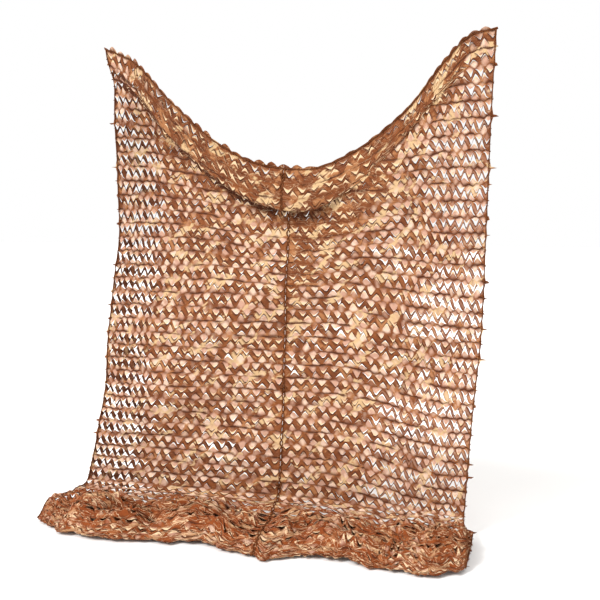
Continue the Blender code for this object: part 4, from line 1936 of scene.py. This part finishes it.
@dataclass
class BorderCord:
    """The cord along the left side, the top edge and the right side, lashed on at each chord."""

    drape: Drape
    pitch: float
    radius: float = 0.0019
    lift: float = 0.0026
    from_edge: float = 0.005
    from_top: float = 0.0005
    panel_width: float = 0.75
    step: float = 0.0092
    lash_radius: float = 0.0008
    lash_reach: float = 0.0050
    lash_points: int = 8

    def _along(self, across: np.ndarray, down: np.ndarray) -> tuple[np.ndarray, np.ndarray]:
        """Find points of the cord.

        Args:
            across: Where each lies, from -1 at the left edge to 1 at the right edge.
            down: The cloth from the top edge to each.

        Returns:
            The points and the normals of the cloth under them.
        """
        points, normals = self.drape.frames(across, down, 0.0)
        points = points + normals * self.lift
        return Crumple().applied(points, across, down, self.drape), normals

    def build(self, material: bpy.types.Material) -> None:
        """Make the cord and its lashings.

        Args:
            material: The braid's finish.
        """
        edge = 1.0 - self.from_edge / self.panel_width
        down = np.arange(self.from_top, self.drape.length - self.step, self.step)
        along = np.linspace(-edge, edge, int(2 * self.panel_width / self.step))
        along = np.where(np.abs(along) < BARELY, BARELY, along)
        left = self._along(np.full(len(down), -edge), down)
        top = self._along(along, np.full(len(along), self.from_top))
        right = self._along(np.full(len(down), edge), down)
        route = np.concatenate([left[0][::-1], top[0][1:-1], right[0]])
        normals = np.concatenate([left[1][::-1], top[1][1:-1], right[1]])
        cord = cord_piece("border_braid", [(route, False)], self.radius, material)
        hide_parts("border_cord")
        every = round(self.pitch / self.step)
        rings = []
        for index in range(every, len(route) - every, every):
            direction = unit(route[index + 1] - route[index - 1])
            beside = unit(np.cross(direction, normals[index]))
            centre = route[index] - normals[index] * self.lift / 2
            half = self.lash_reach
            ring = ring_round(centre, beside * half, normals[index] * half, self.lash_points)
            rings.append((ring, True))
        cord_piece("border_lashings", rings, self.lash_radius, material)
        log.info("border cord of %.2f m with %d lashings", self.step * len(route), len(rings))


@dataclass
class SeamLacing:
    """Two dark cords that cross down the seam and pull the two panels together, with knots."""

    drape: Drape
    pitch: float
    radius: float = 0.0024
    half_width: float = 0.0048
    half_depth: float = 0.0028
    steps_per_pitch: int = 10
    start: float = 0.002  # cloth from the top edge, and the cloth left over at the end
    end: float = 0.01
    wander: float = 0.002  # how far a cord strays to the sides
    wanders: float = 30.0  # how often in a metre
    wander_seed: int = 31
    forward: float = 0.001
    knots: tuple[float, ...] = (0.03, 0.62, 1.34, 1.73)  # cloth from the top edge to each
    knot_size: float = 0.0042
    knot_depth: float = 1.4  # in knot sizes
    knot_points: int = 36
    knot_forward: float = 0.005
    knot_thicker: float = 1.3  # pulled tight, its cord shows thicker than the lacing's

    def _centre(self, down: np.ndarray) -> tuple[np.ndarray, np.ndarray]:
        """Find points of the seam's centre line.

        Args:
            down: The cloth from the top edge to each.

        Returns:
            The points and the normals out of the front there.
        """
        across = np.full(len(down), BARELY)
        points, normals = self.drape.frames(across, down, 0.0)
        return Crumple().applied(points, across, down, self.drape), normals

    def build(self, material: bpy.types.Material) -> None:
        """Make the lacing and its knots.

        Args:
            material: The braid's finish.
        """
        count = int(self.drape.length / self.pitch * self.steps_per_pitch)
        down = np.linspace(self.start, self.drape.length - self.end, count)
        centre, normals = self._centre(down)
        sideways = np.array([1.0, 0.0, 0.0])
        noise = SmoothNoise(self.wander_seed)
        turns = 2 * math.pi * down / self.pitch
        strands = []
        for phase in (0.0, math.pi):
            strayed = self.wander * noise.at(down * self.wanders, phase + 0 * down)
            across = self.half_width * np.sin(turns + phase) + strayed
            depth = self.half_depth * np.cos(2 * turns + phase) + self.forward
            strands.append((centre + across[:, None] * sideways + depth[:, None] * normals, False))
        lacing = cord_piece("seam_lacing", strands, self.radius, material)
        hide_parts("seam_cord")
        t = np.linspace(0.0, 2 * math.pi, self.knot_points, endpoint=False)
        sideways_by, up_by = np.sin(t) + 2 * np.sin(2 * t), np.cos(t) - 2 * np.cos(2 * t)
        trefoil = np.stack([sideways_by, -self.knot_depth * np.sin(3 * t), up_by], axis=-1)
        places, out = self._centre(np.array(self.knots))
        rings = [
            (place + normal * self.knot_forward + self.knot_size * trefoil, True)
            for place, normal in zip(places, out)
        ]
        cord_piece("seam_knots", rings, self.knot_thicker * self.radius, material)
        log.info("seam lacing of two cords with %d knots", len(rings))


# ---------------------------------------------------------------------------------------------
# The studio


@dataclass(frozen=True)
class Sun:
    """An even light."""

    name: str
    tilt: float  # degrees from straight above
    turn: float  # degrees round from the front, to the right
    spread: float  # how wide it is in the sky, in degrees: wider is softer
    strength: float  # in watts per square metre

    def build(self) -> None:
        """Hang it in the sky."""
        data = bpy.data.lights.new(self.name, "SUN")
        data.angle = math.radians(self.spread)
        data.energy = self.strength
        light = bpy.data.objects.new(self.name, data)
        light.rotation_euler = Euler((math.radians(self.tilt), 0.0, math.radians(self.turn)))
        bpy.context.scene.collection.objects.link(light)


@dataclass(frozen=True)
class Studio:
    """A plain pale floor, soft light from the front and above, and the camera."""

    suns: tuple[Sun, ...] = (
        Sun("key", 52.0, -40.0, 20.0, 2.9),
        Sun("fill", 55.0, 150.0, 50.0, 0.4),
    )
    floor_size: float = 60.0
    floor_gap: float = 0.0005  # from the net down to it
    camera_place: tuple[float, float, float] = (0.976, -3.342, -0.174)
    camera_turn: float = 15.28  # degrees to the left of straight on
    camera_pitch: float = 5.45  # degrees down
    lens: float = 54.0
    world_white: float = 1.0

    def build(self) -> None:
        """Lay the floor, light it and set the camera."""
        mesh = bmesh.new()
        bmesh.ops.create_grid(mesh, x_segments=1, y_segments=1, size=self.floor_size / 2)
        bmesh.ops.translate(mesh, verts=mesh.verts[:], vec=(0.0, 0.0, CAD_BOX[0][2] - self.floor_gap))
        floor = finished("studio_floor", mesh, FloorFinish().build())
        for sun in self.suns:
            sun.build()
        world = bpy.data.worlds.new("studio")
        world.use_nodes = True
        background = world.node_tree.nodes["Background"]
        background.inputs["Color"].default_value = (1.0, 1.0, 1.0, 1.0)
        background.inputs["Strength"].default_value = self.world_white
        bpy.context.scene.world = world
        data = bpy.data.cameras.new("camera")
        data.lens = self.lens
        camera = bpy.data.objects.new("camera", data)
        camera.location = self.camera_place
        camera.rotation_euler = (
            math.radians(90.0 - self.camera_pitch),
            0.0,
            math.radians(self.camera_turn),
        )
        bpy.context.scene.collection.objects.link(camera)
        bpy.context.scene.camera = camera
        bpy.context.scene.view_settings.view_transform = "Standard"


def main() -> None:
    """Build the net's pieces in order, and report each."""
    logging.basicConfig(level=logging.INFO, format="%(name)s: %(message)s")
    Studio().build()
    log.info("studio ready")
    drape, pattern = Drape(), SlitPattern()
    cloth = SlitClothFinish().build()
    for side in Side:
        for stretch in Stretch:
            piece = ClothPanel(side, stretch, drape, pattern).build(cloth)
            log.info("%s: %d faces before thickness", piece.name, len(piece.data.polygons))
    braid = BraidFinish().build()
    pitch = drape.length / pattern.pairs
    BorderCord(drape, pitch).build(braid)
    SeamLacing(drape, pitch).build(braid)


if __name__ == "__main__":
    main()
